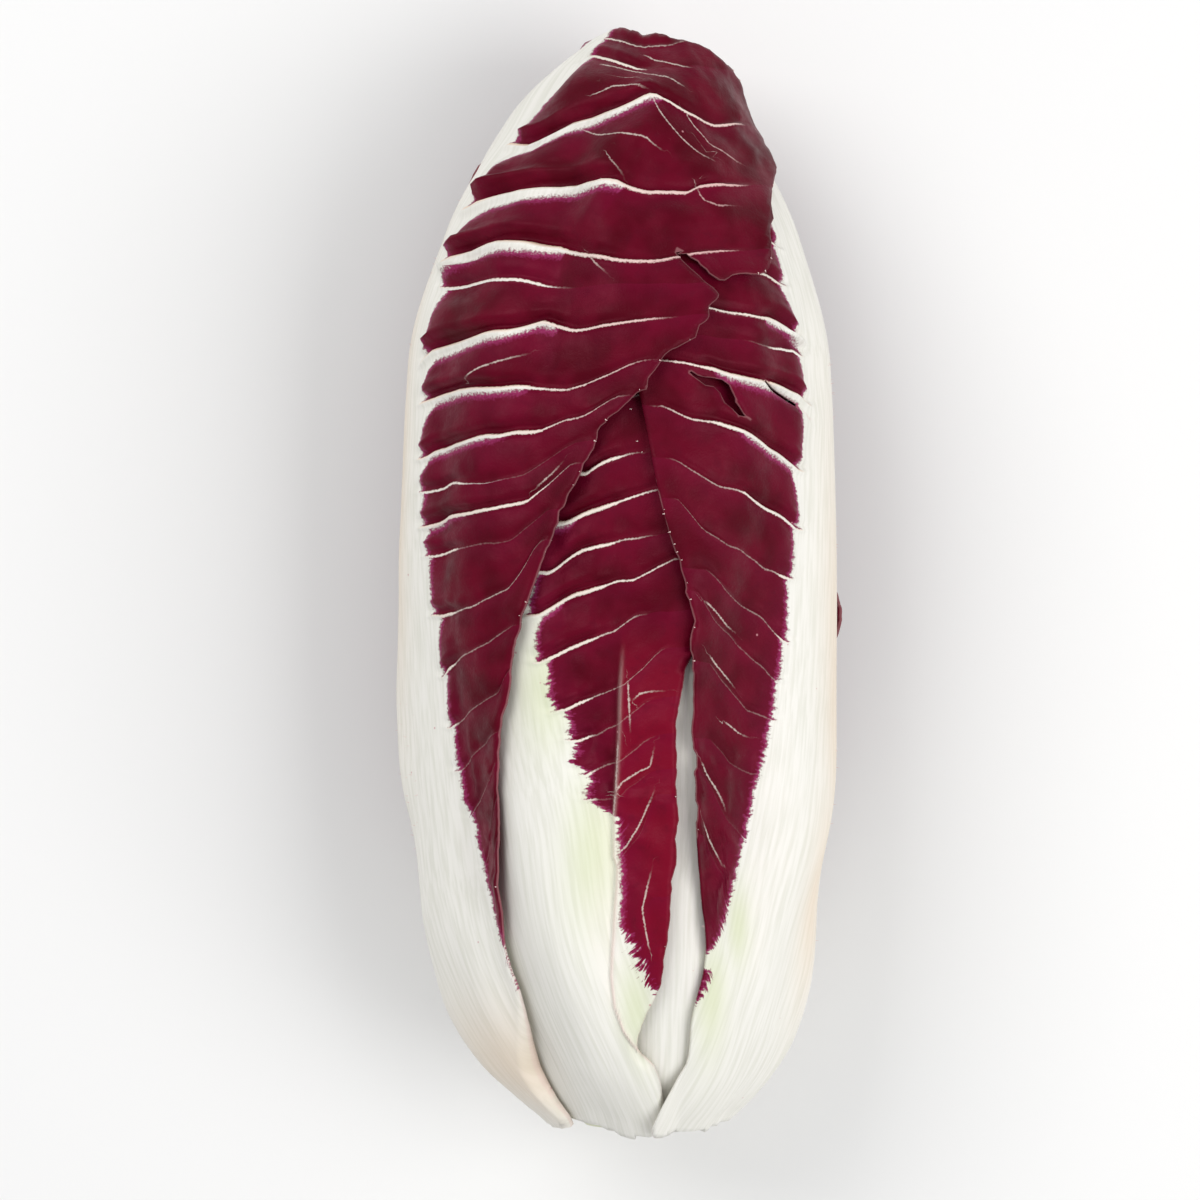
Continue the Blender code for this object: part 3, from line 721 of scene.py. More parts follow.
def fold_of(leaf, angle, station, radius):
    """What a wing folded up along a crease adds: its rise, how much thinner it is, a painted highlight
    along its crest, and a brighter red on the wing that is partly painted light.
    """
    crease = np.array(leaf["fold"], float)
    crease = crease[np.argsort(crease[:, 0])]
    foot, tip = crease[0, 0], crease[-1, 0]
    beyond = (angle - np.interp(station, crease[:, 0], crease[:, 1])) * math.radians(1) * radius
    along = ramp(station, foot - 2, foot + 3)
    along *= 1 - ramp(station, tip - 9, tip + 1)
    stands = ramp(beyond, -0.35, 0.3) * (0.55 + 0.45 * np.exp(-np.maximum(beyond, 0) / 2.5))
    thinner = 1 - 0.45 * along * ramp(beyond, -0.4, 0.8)
    # A painted highlight along the crest, and a brighter red over the wing that is partly painted light.
    crest_highlight = along * np.exp(-(((beyond - 0.1) / 0.28) ** 2)) * (1 - 0.6 * ramp(station, -60, -42))
    wing_crimson_and_light = (1 - ramp(station, tip - 12, tip + 10)) * ramp(beyond, -0.6, 0.2)
    return along * leaf["fold_height"] * stands, thinner, crest_highlight, wing_crimson_and_light


def lumps_of(leaf, angle, station, red):
    """The small lumps, dents and crumples of the blade, in mm."""
    across = angle * DEGREE
    seed = leaf["seed"]
    lumps = LUMP_HEIGHT * lattice_noise(across / LUMP_SIZE[0], station / LUMP_SIZE[1], seed + 5)
    lumps += DENT_HEIGHT * lattice_noise(across / DENT_SIZE[0], station / DENT_SIZE[1], seed + 6)
    crumple = lattice_noise(across / CRUMPLE_SIZE[0], station / CRUMPLE_SIZE[1], seed + 8)
    crumple = 0.5 - np.abs(crumple + 0.3 * lattice_noise(across / 2.1, station / 2.6, seed + 9))
    lumps += leaf["crumpled"] * crumple * ramp(CRUMPLED_BELOW - station, 0, 14)
    return lumps * ramp(red, -1, 4) * leaf["lumpiness"]


def cover_with(cover, share, angle, outer, cells):
    """The cover once a leaf's outer face lies on it."""
    laid = np.full_like(cover, -1.0)
    for u in np.linspace(0, 1, 4)[:-1]:
        for v in np.linspace(0, 1, 4)[:-1]:
            spots = []
            for field in (share, angle, outer):
                a, b, d, e = field[:-1, :-1], field[:-1, 1:], field[1:, :-1], field[1:, 1:]
                mix = (1 - u) * ((1 - v) * a + v * b) + u * ((1 - v) * d + v * e)
                spots.append(mix[cells])
            row = np.clip(np.rint(spots[0] * (DRAPE_ROWS - 1)).astype(int), 0, DRAPE_ROWS - 1)
            column = np.rint((spots[1] + 180) * DRAPE_COLUMNS / 360).astype(int) % DRAPE_COLUMNS
            np.maximum.at(laid, (row, column), spots[2])
    return np.maximum(cover, laid)


def sheet_map(shape, faces, strips):
    """UV corners: the outer face at the left, the inner one at the right, and the rim's strips above."""
    row_part = np.broadcast_to(np.linspace(0, 1, shape[0])[:, None], shape)
    column_part = np.broadcast_to(np.linspace(0, 1, shape[1])[None, :], shape)
    flat = np.stack([column_part.ravel() * 0.485 + 0.005, row_part.ravel() * 0.88 + 0.005], -1)
    flat = np.concatenate([flat, flat + [0.5, 0.0]])
    number = np.arange(strips)
    size = np.array([1 / STRIPS_IN_ROW, 0.095 / (strips // STRIPS_IN_ROW + 1)])
    cell = np.stack([number % STRIPS_IN_ROW, number // STRIPS_IN_ROW], -1) * size + [0, 0.9]
    first = cell[:, None, :] + size * np.array([[1, 1], [0, 1], [0, 0]])
    second = cell[:, None, :] + size * np.array([[1, 1], [0, 0], [1, 0]])
    return np.concatenate([flat[faces.ravel()], first.reshape(-1, 2), second.reshape(-1, 2)])


def lay_leaf(leaf, cover, material):
    """Lays the leaf over the cover as a piece of its own, and gives the cover with the leaf on it."""
    out, table, widths, bands = vein_table(leaf)
    rows, columns = leaf_rows(table, widths), leaf_columns(leaf)
    phase, across = np.meshgrid(rows, columns, indexing="ij")
    whole = np.minimum(np.floor(phase).astype(int), len(table) - 2)
    low = np.stack([np.interp(np.abs(columns), out, line) for line in table])
    column = np.broadcast_to(np.arange(len(columns)), phase.shape)
    part = phase - whole
    station = (1 - part) * low[whole, column] + part * low[whole + 1, column]
    rib = through(leaf["rib"], station)
    left, right = through(leaf["left"], station), through(leaf["right"], station)
    angle = rib + across * np.where(across < 0, rib - left, right - rib)
    signed, free = edge_distances(leaf, angle, station)
    signed, (station, angle, phase, across, free) = snap(signed, [station, angle, phase, across, free])
    free = np.where(signed == 0, np.minimum(free, 0.05), free)

    # Where each point stands between its veins, in mm.
    whole = np.clip(np.floor(phase + 1e-6).astype(int), 0, len(table) - 2)
    part = np.clip(phase - whole, 0, 1)
    gap = low[whole + 1, column] - low[whole, column]
    over = part * gap
    under = (1 - part) * gap
    off_vein = np.minimum(over, under)
    share = share_at(station)
    radius = core_outline(share)[1] * (1 + FLATNESS) / 2 + TYPICAL_COVER / 2
    rib = through(leaf["rib"], station)
    from_rib = (angle - rib) * math.radians(1) * radius
    red_right = (angle - rib_red(leaf, "right", station)) * math.radians(1) * radius
    red_left = (rib_red(leaf, "left", station) - angle) * math.radians(1) * radius
    red = np.maximum(red_right, red_left)
    nearest = np.where(part > 0.5, whole + 1, whole)
    width_at = np.stack([np.interp(np.abs(columns), out, line) for line in widths])
    vein = width_at[nearest, column]
    about = np.maximum(width_at[whole, column], width_at[whole + 1, column])
    wide, long = bands[whole + 1, 0], bands[whole + 1, 1]
    band = wide * np.clip(1 - np.maximum(red, 0) / long, 0, 1) ** 0.8

    # The thickness: a round rib and a thin blade.
    half = through(leaf["rib_half"], station)
    hump = np.maximum(1 - np.abs(from_rib / half) ** RIB_ROUNDNESS, 0) ** 1.5
    rib_thick = leaf.get("stoutness", 1.0) * through(RIB_THICKNESS, station)
    thick = BLADE_THICKNESS + (rib_thick - BLADE_THICKNESS) * hump
    blade = 1 - hump
    wrinkles = lattice_noise(from_rib * 0.9, station / 26, leaf["seed"])
    wrinkles += 0.6 * lattice_noise(from_rib * 1.9, station / 14, leaf["seed"] + 3)
    wrinkles *= RIB_WRINKLE * hump**0.5

    # The relief: each vein a ridge with a crease on its tip side, and the blade puffed between them.
    ridge = RIDGE_HEIGHT * vein * np.exp(-((off_vein / (0.5 * vein + 0.15)) ** 2)) * ramp(red, -3, 0.5)
    groove = GROOVE_DEPTH * np.exp(-(((over - 0.8 - 0.55 * vein) / (0.3 + 0.3 * vein)) ** 2))
    groove *= np.clip(vein, 0, 1.5) * ramp(red, -3.5, -0.5) * blade
    pleat = PLEAT_HEIGHT * vein * np.exp(-(((over - 2.2 - 0.8 * vein) / 0.9) ** 2))
    pleat *= ramp(red, -2, 2) * np.exp(-np.maximum(red, 0) / 16) * leaf["puff"]
    puff = np.sin(np.pi * np.clip(part, 0, 1) ** 0.9) * np.clip(gap / 9, 0.2, 1.6) * ramp(red, -2.5, 4)
    puff *= leaf["puff"] * np.exp(-np.maximum(red, 0) / 38) * np.clip(about, 0, 1.1)
    lumps = lumps_of(leaf, angle, station, red)
    sheet = puff + pleat + np.maximum(lumps, -DEEPEST_DENT) - 1.5 * groove
    for knot_station, knot_angle, size, height in leaf.get("knots", ()):
        away = np.hypot((angle - knot_angle) * DEGREE, station - knot_station)
        sheet = sheet + height * np.exp(-((away / size) ** 2))
        dimple = np.hypot((angle - knot_angle) * DEGREE - 0.6 * size, station - knot_station + 0.3)
        groove = groove + 0.6 * height * np.exp(-((dimple / (0.35 * size)) ** 2))
    # A painted highlight on the fold's crest, and the wing's brighter red, which is partly painted light.
    wing_crimson_and_light, crest_highlight = np.zeros_like(angle), np.zeros_like(angle)
    if "fold" in leaf:
        rise, thinner, crest_highlight, wing_crimson_and_light = fold_of(leaf, angle, station, radius)
        sheet = sheet + rise
        thick = thick * thinner

    # How it lies: draped on the cover, its edge standing off, curled in places and swollen in others.
    lift = EDGE_LIFT * np.exp(-free / EDGE_LIFT_REACH) * (0.15 + 0.85 * ramp(station, -92, -66))
    curl = lattice_noise(angle * DEGREE / 13, station / 11, leaf["seed"] + 7)
    curl = leaf["curl"] * (0.6 + 0.6 * curl)
    lift = lift + np.maximum(curl, 0) * np.exp(-((free / CURL_REACH) ** 2)) * blade
    for at, turn, wide, long, height in leaf.get("swells", ()):
        away = ((angle - turn) * DEGREE / wide) ** 2 + ((station - at) / long) ** 2
        lift = lift + height * np.exp(-away)
    bed = np.maximum(drape(cover) + LAYER_GAP, cover + LEAST_GAP)
    inner = read_field(bed, share, angle) + lift + np.maximum(0.8 * sheet, 0)
    edge_reach = 1.1 + 1.6 * hump
    thick = EDGE_THICKNESS + (thick - EDGE_THICKNESS) * rounded_off(free + 0.02, edge_reach)
    relief = (0.2 * sheet + ridge - groove + wrinkles) * rounded_off(free, 1.5)
    outer = inner + np.maximum(thick + relief, THINNEST)

    # The mesh: each cell of the grid is two triangles, kept where they lie inside the cut edge.
    a, b, d, e = signed[:-1, :-1], signed[:-1, 1:], signed[1:, :-1], signed[1:, 1:]
    near = (a >= 0) & (b >= 0) & (d >= 0) & ((a > 0) | (b > 0) | (d > 0))
    far = (b >= 0) & (e >= 0) & (d >= 0) & ((b > 0) | (e > 0) | (d > 0))
    upper, lower, rim = sheet_faces(near, far, signed.size)
    outer_points = place(share, angle, outer).reshape(-1, 3)
    inner_points = place(share, angle, inner).reshape(-1, 3)
    outer_points[:, 2] = np.maximum(outer_points[:, 2], 0.0)
    inner_points[:, 2] = np.maximum(inner_points[:, 2], 0.45)
    points = np.concatenate([outer_points, inner_points])
    used, faces = np.unique(np.concatenate([upper, lower, rim]), return_inverse=True)
    faces = faces.reshape(-1, 3)
    mesh = add_piece(leaf["title"], leaf["name"], points[used], faces, material).data

    # What the finish reads at each point.
    branch, branch_shows = side_branches(leaf, angle, station)
    facts = {
        "phase": phase,
        "vein_gap": gap,
        "vein_width": vein,
        "red": red,
        "from_rib": from_rib,
        "free": free,
        "branch": branch,
        "branch_shows": branch_shows,
        "fringe": np.interp(station, *np.array(leaf["fringe"], float).T),
        "wing_crimson_and_light": wing_crimson_and_light,
        "crest_highlight": crest_highlight,
        "band": band,
        "green": spots_of(leaf, "green", angle, station),
        "beige": spots_of(leaf, "beige", angle, station),
    }
    for name in LEAF_FACTS:
        both = np.concatenate([facts[name].ravel(), facts[name].ravel()])[used]
        mesh.attributes.new(name, "FLOAT", "POINT").data.foreach_set("value", both.astype(np.float32))
    corners = sheet_map(signed.shape, np.concatenate([upper, lower]), len(rim) // 2)
    layer = mesh.uv_layers.new(name="OFBake")
    layer.data.foreach_set("uv", corners.astype(np.float32).ravel())
    return cover_with(cover, share, angle, outer, near | far)


# Waxy chicory leaf: a deep burgundy skin with a satin bloom over white tissue, which shows bare on the
# rib and veins. The skin ends in a ragged comb beside them, and the rib is moist and finely ridged.
SKIN_GRAIN = 0.4545 * MM
SKIN_MOTTLE = 1.923 * MM
SKIN_CLOUD = 7.692 * MM
SPECK_SPACING = 6.667 * MM
BURGUNDY_DARK = linear("#4E0213")
BURGUNDY = linear("#60041D")
# The wing's brighter red below is partly its own crimson and partly painted light.
WING_CRIMSON_AND_LIGHT = linear("#760822")
BURGUNDY_FRESH = linear("#700A2E")
BURGUNDY_MOTTLE = linear("#3C0719")
PINK_FRINGE = linear("#A83C72")
RIB_WHITE = linear("#ECEAE2")
RIB_SHADE = linear("#E0DFD4")
RIB_GREEN = linear("#CBD6A0")
RIB_BEIGE = linear("#E6C9A6")
VEIN_WHITE = linear("#E9DFD2")
VEIN_PINK = linear("#D6ABA8")
# Painted highlights: peach on the lit side of the veins, pink on the margin's edge and pale on the fold's
# crest. The specks' pink is their own.
VEIN_HIGHLIGHT_PEACH = linear("#EBC6A4")
MARGIN_HIGHLIGHT_PINK = linear("#D8A5A6")
SPECK_PINK = linear("#C98E93")
FOLD_CREST_HIGHLIGHT = linear("#EAD5CB")

leaf_material, tree, shader = new_material("waxy chicory leaf")
spot = add(tree, "ShaderNodeTexCoord").outputs["Object"]
read = {name: add(tree, "ShaderNodeAttribute", attribute_name=name).outputs["Fac"] for name in LEAF_FACTS}
fine = add(tree, "ShaderNodeTexNoise", {"Vector": spot, "Scale": 1 / SKIN_GRAIN, "Detail": 3.0})
middling = add(tree, "ShaderNodeTexNoise", {"Vector": spot, "Scale": 1 / SKIN_MOTTLE, "Detail": 3.0})
broad = add(tree, "ShaderNodeTexNoise", {"Vector": spot, "Scale": 1 / SKIN_CLOUD, "Detail": 2.0})
centred = add(tree, "ShaderNodeMath", {0: fine, 1: 0.5}, operation="SUBTRACT")

# Millimetres over the vein below a point, under the vein above it, and off the nearer one.
part = add(tree, "ShaderNodeMath", {0: read["phase"]}, operation="FRACT")
over = add(tree, "ShaderNodeMath", {0: part, 1: read["vein_gap"]}, operation="MULTIPLY")
under = add(tree, "ShaderNodeMath", {0: read["vein_gap"], 1: over}, operation="SUBTRACT")
off_vein = add(tree, "ShaderNodeMath", {0: over, 1: under}, operation="MINIMUM")

# A white wedge runs out under each vein, and the red reaches a little further in just above it.
wedge_length = add(tree, "ShaderNodeMath", {0: read["vein_gap"], 1: 0.8}, operation="MULTIPLY")
wedge = add(tree, "ShaderNodeMath", {0: under, 1: wedge_length}, operation="DIVIDE")
wedge = add(tree, "ShaderNodeMath", {0: 1.0, 1: wedge}, operation="SUBTRACT")
wedge = add(tree, "ShaderNodeMath", {0: wedge, 1: 0.0}, operation="MAXIMUM")
wedge = add(tree, "ShaderNodeMath", {0: wedge, 1: 2.0}, operation="POWER")
wedge_width = add(tree, "ShaderNodeMath", {0: read["vein_width"], 1: 1.5}, operation="POWER")
wedge_width = add(tree, "ShaderNodeMath", {0: wedge_width, 1: 3.5}, operation="MULTIPLY")
wedge = add(tree, "ShaderNodeMath", {0: wedge, 1: wedge_width}, operation="MULTIPLY")
reach = add(tree, "ShaderNodeMath", {0: over, 1: -1.2}, operation="MULTIPLY")
reach = add(tree, "ShaderNodeMath", {0: reach}, operation="EXPONENT")
reach_length = add(tree, "ShaderNodeMath", {0: read["vein_width"], 1: 1.0}, operation="MINIMUM")
reach_length = add(tree, "ShaderNodeMath", {0: reach_length, 1: 1.8}, operation="MULTIPLY")
reach = add(tree, "ShaderNodeMath", {0: reach, 1: reach_length}, operation="MULTIPLY")

# The skin's end is combed into teeth that run along the rib, and frays in fine grains.
comb_across = add(tree, "ShaderNodeMath", {0: read["from_rib"], 1: 0.4}, operation="MULTIPLY")
comb_along = add(tree, "ShaderNodeMath", {0: over, 1: 1.5}, operation="MULTIPLY")
vein_number = add(tree, "ShaderNodeMath", {0: read["phase"]}, operation="FLOOR")
comb_row = add(tree, "ShaderNodeMath", {0: vein_number, 1: 3.7}, operation="MULTIPLY")
comb_spot = add(tree, "ShaderNodeCombineXYZ", {0: comb_across, 1: comb_along, 2: comb_row})
comb = add(tree, "ShaderNodeTexNoise", {"Vector": comb_spot, "Scale": 1.0, "Detail": 3.0})
comb = add(tree, "ShaderNodeMath", {0: comb, 1: 0.5}, operation="SUBTRACT")
comb_length = add(tree, "ShaderNodeMath", {0: read["fringe"], 1: 1.9}, operation="MULTIPLY")
grains = add(tree, "ShaderNodeMath", {0: centred, 1: 1.5}, operation="MULTIPLY")
ragged = add(tree, "ShaderNodeMath", {0: comb, 1: comb_length, 2: grains}, operation="MULTIPLY_ADD")

# How far a point is inside the red, in mm: from the rib, and from the white band under each vein.
start = add(tree, "ShaderNodeMath", {0: read["red"], 1: wedge}, operation="SUBTRACT")
start = add(tree, "ShaderNodeMath", {0: start, 1: reach}, operation="ADD")
start = add(tree, "ShaderNodeMath", {0: start, 1: ragged}, operation="ADD")
below = add(tree, "ShaderNodeMath", {0: under, 1: read["band"]}, operation="SUBTRACT")
below = add(tree, "ShaderNodeMath", {0: below, 1: 0.75, 2: grains}, operation="MULTIPLY_ADD")
no_band = add(tree, "ShaderNodeMapRange", {0: read["band"], 2: 0.2, 3: 2.5, 4: 0.0}, **SMOOTH)
below = add(tree, "ShaderNodeMath", {0: below, 1: no_band}, operation="ADD")
edge = add(tree, "ShaderNodeMath", {0: start, 1: below}, operation="MINIMUM")
redness = add(tree, "ShaderNodeMapRange", {0: edge, 1: -0.25, 2: 0.6}, **SMOOTH)

# The bare veins and their fine side branches.
frayed = add(tree, "ShaderNodeMath", {0: centred, 1: 0.55}, operation="MULTIPLY")
half = add(tree, "ShaderNodeMath", {0: read["vein_width"], 1: 0.5}, operation="MULTIPLY")
beside = add(tree, "ShaderNodeMath", {0: off_vein, 1: half}, operation="SUBTRACT")
beside = add(tree, "ShaderNodeMath", {0: beside, 1: frayed}, operation="ADD")
on_vein = add(tree, "ShaderNodeMapRange", {0: beside, 1: -0.08, 2: 0.16, 3: 1.0, 4: 0.0}, **SMOOTH)
has_vein = add(tree, "ShaderNodeMapRange", {0: read["vein_width"], 1: 0.06, 2: 0.3}, **SMOOTH)
bare = add(tree, "ShaderNodeMath", {0: on_vein, 1: has_vein}, operation="MULTIPLY")
branch = add(tree, "ShaderNodeMath", {0: read["branch"]}, operation="ABSOLUTE")
branch = add(tree, "ShaderNodeMath", {0: branch, 1: frayed}, operation="ADD")
branch = add(tree, "ShaderNodeMapRange", {0: branch, 2: 0.24, 3: 0.6, 4: 0.0}, **SMOOTH)
branch = add(tree, "ShaderNodeMath", {0: branch, 1: read["branch_shows"]}, operation="MULTIPLY")
bare = add(tree, "ShaderNodeMath", {0: bare, 1: branch}, operation="MAXIMUM")

# The burgundy skin: clouded, brighter crimson on the raised wing (partly painted light), fresher near its
# end and pink at the very end.
cloudy = add(tree, "ShaderNodeMapRange", {0: broad, 1: 0.35, 2: 0.65}, **SMOOTH)
burgundy = add(tree, "ShaderNodeMix", {0: cloudy, 6: BURGUNDY_DARK, 7: BURGUNDY}, **COLOUR)
# The raised wing's brighter crimson is partly its own colour and partly painted light on the raised flap.
burgundy = add(tree, "ShaderNodeMix", {0: read["wing_crimson_and_light"], 6: burgundy, 7: WING_CRIMSON_AND_LIGHT}, **COLOUR)
fresh = add(tree, "ShaderNodeMapRange", {0: edge, 1: 0.4, 2: 7.0, 3: 0.5, 4: 0.0}, **SMOOTH)
burgundy = add(tree, "ShaderNodeMix", {0: fresh, 6: burgundy, 7: BURGUNDY_FRESH}, **COLOUR)
mottle = add(tree, "ShaderNodeMapRange", {0: middling, 1: 0.5, 2: 0.75, 4: 0.18}, **SMOOTH)
burgundy = add(tree, "ShaderNodeMix", {0: mottle, 6: burgundy, 7: BURGUNDY_MOTTLE}, **COLOUR)
pink_in = add(tree, "ShaderNodeMapRange", {0: edge, 1: -0.1, 2: 0.6}, **SMOOTH)
pink_out = add(tree, "ShaderNodeMapRange", {0: edge, 1: 0.5, 2: 1.5, 3: 0.55, 4: 0.0}, **SMOOTH)
pink = add(tree, "ShaderNodeMath", {0: pink_in, 1: pink_out}, operation="MULTIPLY")
burgundy = add(tree, "ShaderNodeMix", {0: pink, 6: burgundy, 7: PINK_FRINGE}, **COLOUR)

# The white tissue, faintly striped along the rib, green or beige in places, and pinker in the far veins,
# with a painted peach highlight along the tip side of each vein.
stripe_across = add(tree, "ShaderNodeMath", {0: read["from_rib"], 1: 1.5}, operation="MULTIPLY")
stripe_along = add(tree, "ShaderNodeMath", {0: read["phase"], 1: 0.9}, operation="MULTIPLY")
stripe_spot = add(tree, "ShaderNodeCombineXYZ", {0: stripe_across, 1: stripe_along})
stripes = add(tree, "ShaderNodeTexNoise", {"Vector": stripe_spot, "Scale": 1.0, "Detail": 3.0})
shaded = add(tree, "ShaderNodeMapRange", {0: stripes, 1: 0.35, 2: 0.7}, **SMOOTH)
white = add(tree, "ShaderNodeMix", {0: shaded, 6: RIB_WHITE, 7: RIB_SHADE}, **COLOUR)
greenish = add(tree, "ShaderNodeMath", {0: read["green"], 1: 0.5}, operation="MULTIPLY")
white = add(tree, "ShaderNodeMix", {0: greenish, 6: white, 7: RIB_GREEN}, **COLOUR)
beige = add(tree, "ShaderNodeMath", {0: read["beige"], 1: 0.45}, operation="MULTIPLY")
white = add(tree, "ShaderNodeMix", {0: beige, 6: white, 7: RIB_BEIGE}, **COLOUR)
far = add(tree, "ShaderNodeMapRange", {0: read["red"], 1: 16.0, 2: 54.0}, **SMOOTH)
vein_colour = add(tree, "ShaderNodeMix", {0: far, 6: VEIN_WHITE, 7: VEIN_PINK}, **COLOUR)
# A painted highlight: a peach line on the tip side of each vein's ridge, the side that faces the light.
tip_side = add(tree, "ShaderNodeMath", {0: read["vein_width"], 1: 0.7}, operation="MULTIPLY")
tip_side = add(tree, "ShaderNodeMath", {0: over, 1: tip_side}, operation="LESS_THAN")
painted_vein_highlight = add(tree, "ShaderNodeMapRange", {0: over, 1: 0.1, 2: 0.5, 4: 0.6}, **SMOOTH)
painted_vein_highlight = add(tree, "ShaderNodeMath", {0: painted_vein_highlight, 1: tip_side}, operation="MULTIPLY")
vein_colour = add(tree, "ShaderNodeMix", {0: painted_vein_highlight, 6: vein_colour, 7: VEIN_HIGHLIGHT_PEACH}, **COLOUR)

# Skin over tissue, then a painted highlight along the margin's edge, a few scattered specks and a painted
# highlight along the fold's crest.
skin_colour = add(tree, "ShaderNodeMix", {0: bare, 6: burgundy, 7: vein_colour}, **COLOUR)
leaf_colour = add(tree, "ShaderNodeMix", {0: redness, 6: white, 7: skin_colour}, **COLOUR)
# A painted highlight along the free edge, where the leaf's cut edge would catch the light.
rim = add(tree, "ShaderNodeMapRange", {0: read["free"], 1: 0.03, 2: 0.3, 3: 0.22, 4: 0.0}, **SMOOTH)
leaf_colour = add(tree, "ShaderNodeMix", {0: rim, 6: leaf_colour, 7: MARGIN_HIGHLIGHT_PINK}, **COLOUR)
dots = add(tree, "ShaderNodeTexVoronoi", {"Vector": spot, "Scale": 1 / SPECK_SPACING}, feature="F1")
some = add(tree, "ShaderNodeSeparateColor", {0: dots.outputs["Color"]})
some = add(tree, "ShaderNodeMath", {0: some, 1: 0.55}, operation="GREATER_THAN")
apart = dots.outputs["Distance"]
specks = add(tree, "ShaderNodeMapRange", {0: apart, 1: 0.02, 2: 0.045, 3: 0.7, 4: 0.0}, **SMOOTH)
specks = add(tree, "ShaderNodeMath", {0: specks, 1: some}, operation="MULTIPLY")
leaf_colour = add(tree, "ShaderNodeMix", {0: specks, 6: leaf_colour, 7: SPECK_PINK}, **COLOUR)
# A painted highlight along the fold's crest.
crest_highlight = add(tree, "ShaderNodeMath", {0: read["crest_highlight"], 1: 0.75}, operation="MULTIPLY")
leaf_colour = add(tree, "ShaderNodeMix", {0: crest_highlight, 6: leaf_colour, 7: FOLD_CREST_HIGHLIGHT}, **COLOUR)
tree.links.new(leaf_colour.outputs[2], shader.inputs["Base Color"])

grainy = add(tree, "ShaderNodeMath", {0: fine, 1: 0.6, 2: middling}, operation="MULTIPLY_ADD")
ridged = add(tree, "ShaderNodeMath", {0: stripes, 1: 0.3}, operation="MULTIPLY")
surface = add(tree, "ShaderNodeMix", {0: redness, 2: ridged, 3: grainy}, data_type="FLOAT")
bump = add(tree, "ShaderNodeBump", {"Height": surface, "Distance": 0.3 * MM, "Strength": 0.3})
tree.links.new(bump.outputs[0], shader.inputs["Normal"])
gloss = add(tree, "ShaderNodeMapRange", {0: middling, 1: 0.3, 2: 0.7, 3: 0.38, 4: 0.52}, **SMOOTH)
tree.links.new(gloss.outputs[0], shader.inputs["Roughness"])
shader.inputs["Specular IOR Level"].default_value = 0.2
shader.inputs["Specular Tint"].default_value = linear("#DC96A6")

HIDDEN = ((0, 100), (3.2, 3.2))  # mm from the rib, and mm between columns there
PLAIN = {
    "veins": plain_veins(-56, 90, 16, 16),
    "vein_widths": [0.6] * 16,
    "veins_in_degrees": False,
    "veins_side": 1,
    "column_left": HIDDEN,
    "column_right": HIDDEN,
    "raggedness": 1.0,
    "fringe": ((-100, 1.0), (100, 1.0)),
    "puff": 0.5,
    "lumpiness": 0.3,
    "crumpled": 0.0,
    "curl": 0.0,
}
inner_leaves = (
    {
        "name": "leaf_under_inner",
        "title": "inner_leaf_underside",
        "seed": LEAF_SEED,
        "foot": -110.0,
        "tip": 100.0,
        "rib": ((-105, 208), (0, 214), (100, 220)),
        "left": ((-105, 185), (-70, 165), (-20, 142), (60, 136), (100, 160)),
        "right": ((-105, 230), (-70, 250), (-20, 280), (60, 290), (100, 265)),
        "rib_half": ((-105, 11), (-60, 11), (0, 8), (60, 5), (100, 3)),
    },
    {
        "name": "leaf_top_inner",
        "title": "inner_leaf_top",
        "seed": LEAF_SEED + 10,
        "foot": -110.0,
        "tip": 103.0,
        "rib": ((-105, 14), (-60, 17), (0, 18), (60, 16), (100, 12)),
        "left": ((-105, -12), (-80, -20), (-50, -35), (0, -55), (60, -62), (100, -40)),
        "right": ((-105, 38), (-70, 52), (-20, 88), (60, 96), (100, 70)),
        "rib_half": ((-105, 11), (-60, 11), (0, 8), (60, 5), (100, 3)),
        "column_left": ((0, 9, 12, 100), (0.9, 0.9, 3.0, 3.0)),
        "column_right": ((0, 9, 12, 100), (0.9, 0.9, 3.0, 3.0)),
    },
    {
        "name": "leaf_left_flank",
        "title": "inner_leaf_left",
        "seed": LEAF_SEED + 20,
        "foot": -107.5,
        "tip": 104.0,
        "rib": ((-105, -122), (0, -126), (100, -130)),
        "left": ((-105, -152), (-70, -172), (-20, -200), (60, -210), (100, -190)),
        "right": ((-105, -96), (-70, -76), (-20, -48), (60, -42), (100, -70)),
        "rib_half": ((-105, 13), (-60, 13), (0, 9), (60, 6), (100, 3)),
    },
)
for leaf in inner_leaves:
    cover = lay_leaf({**PLAIN, **leaf}, cover, leaf_material)

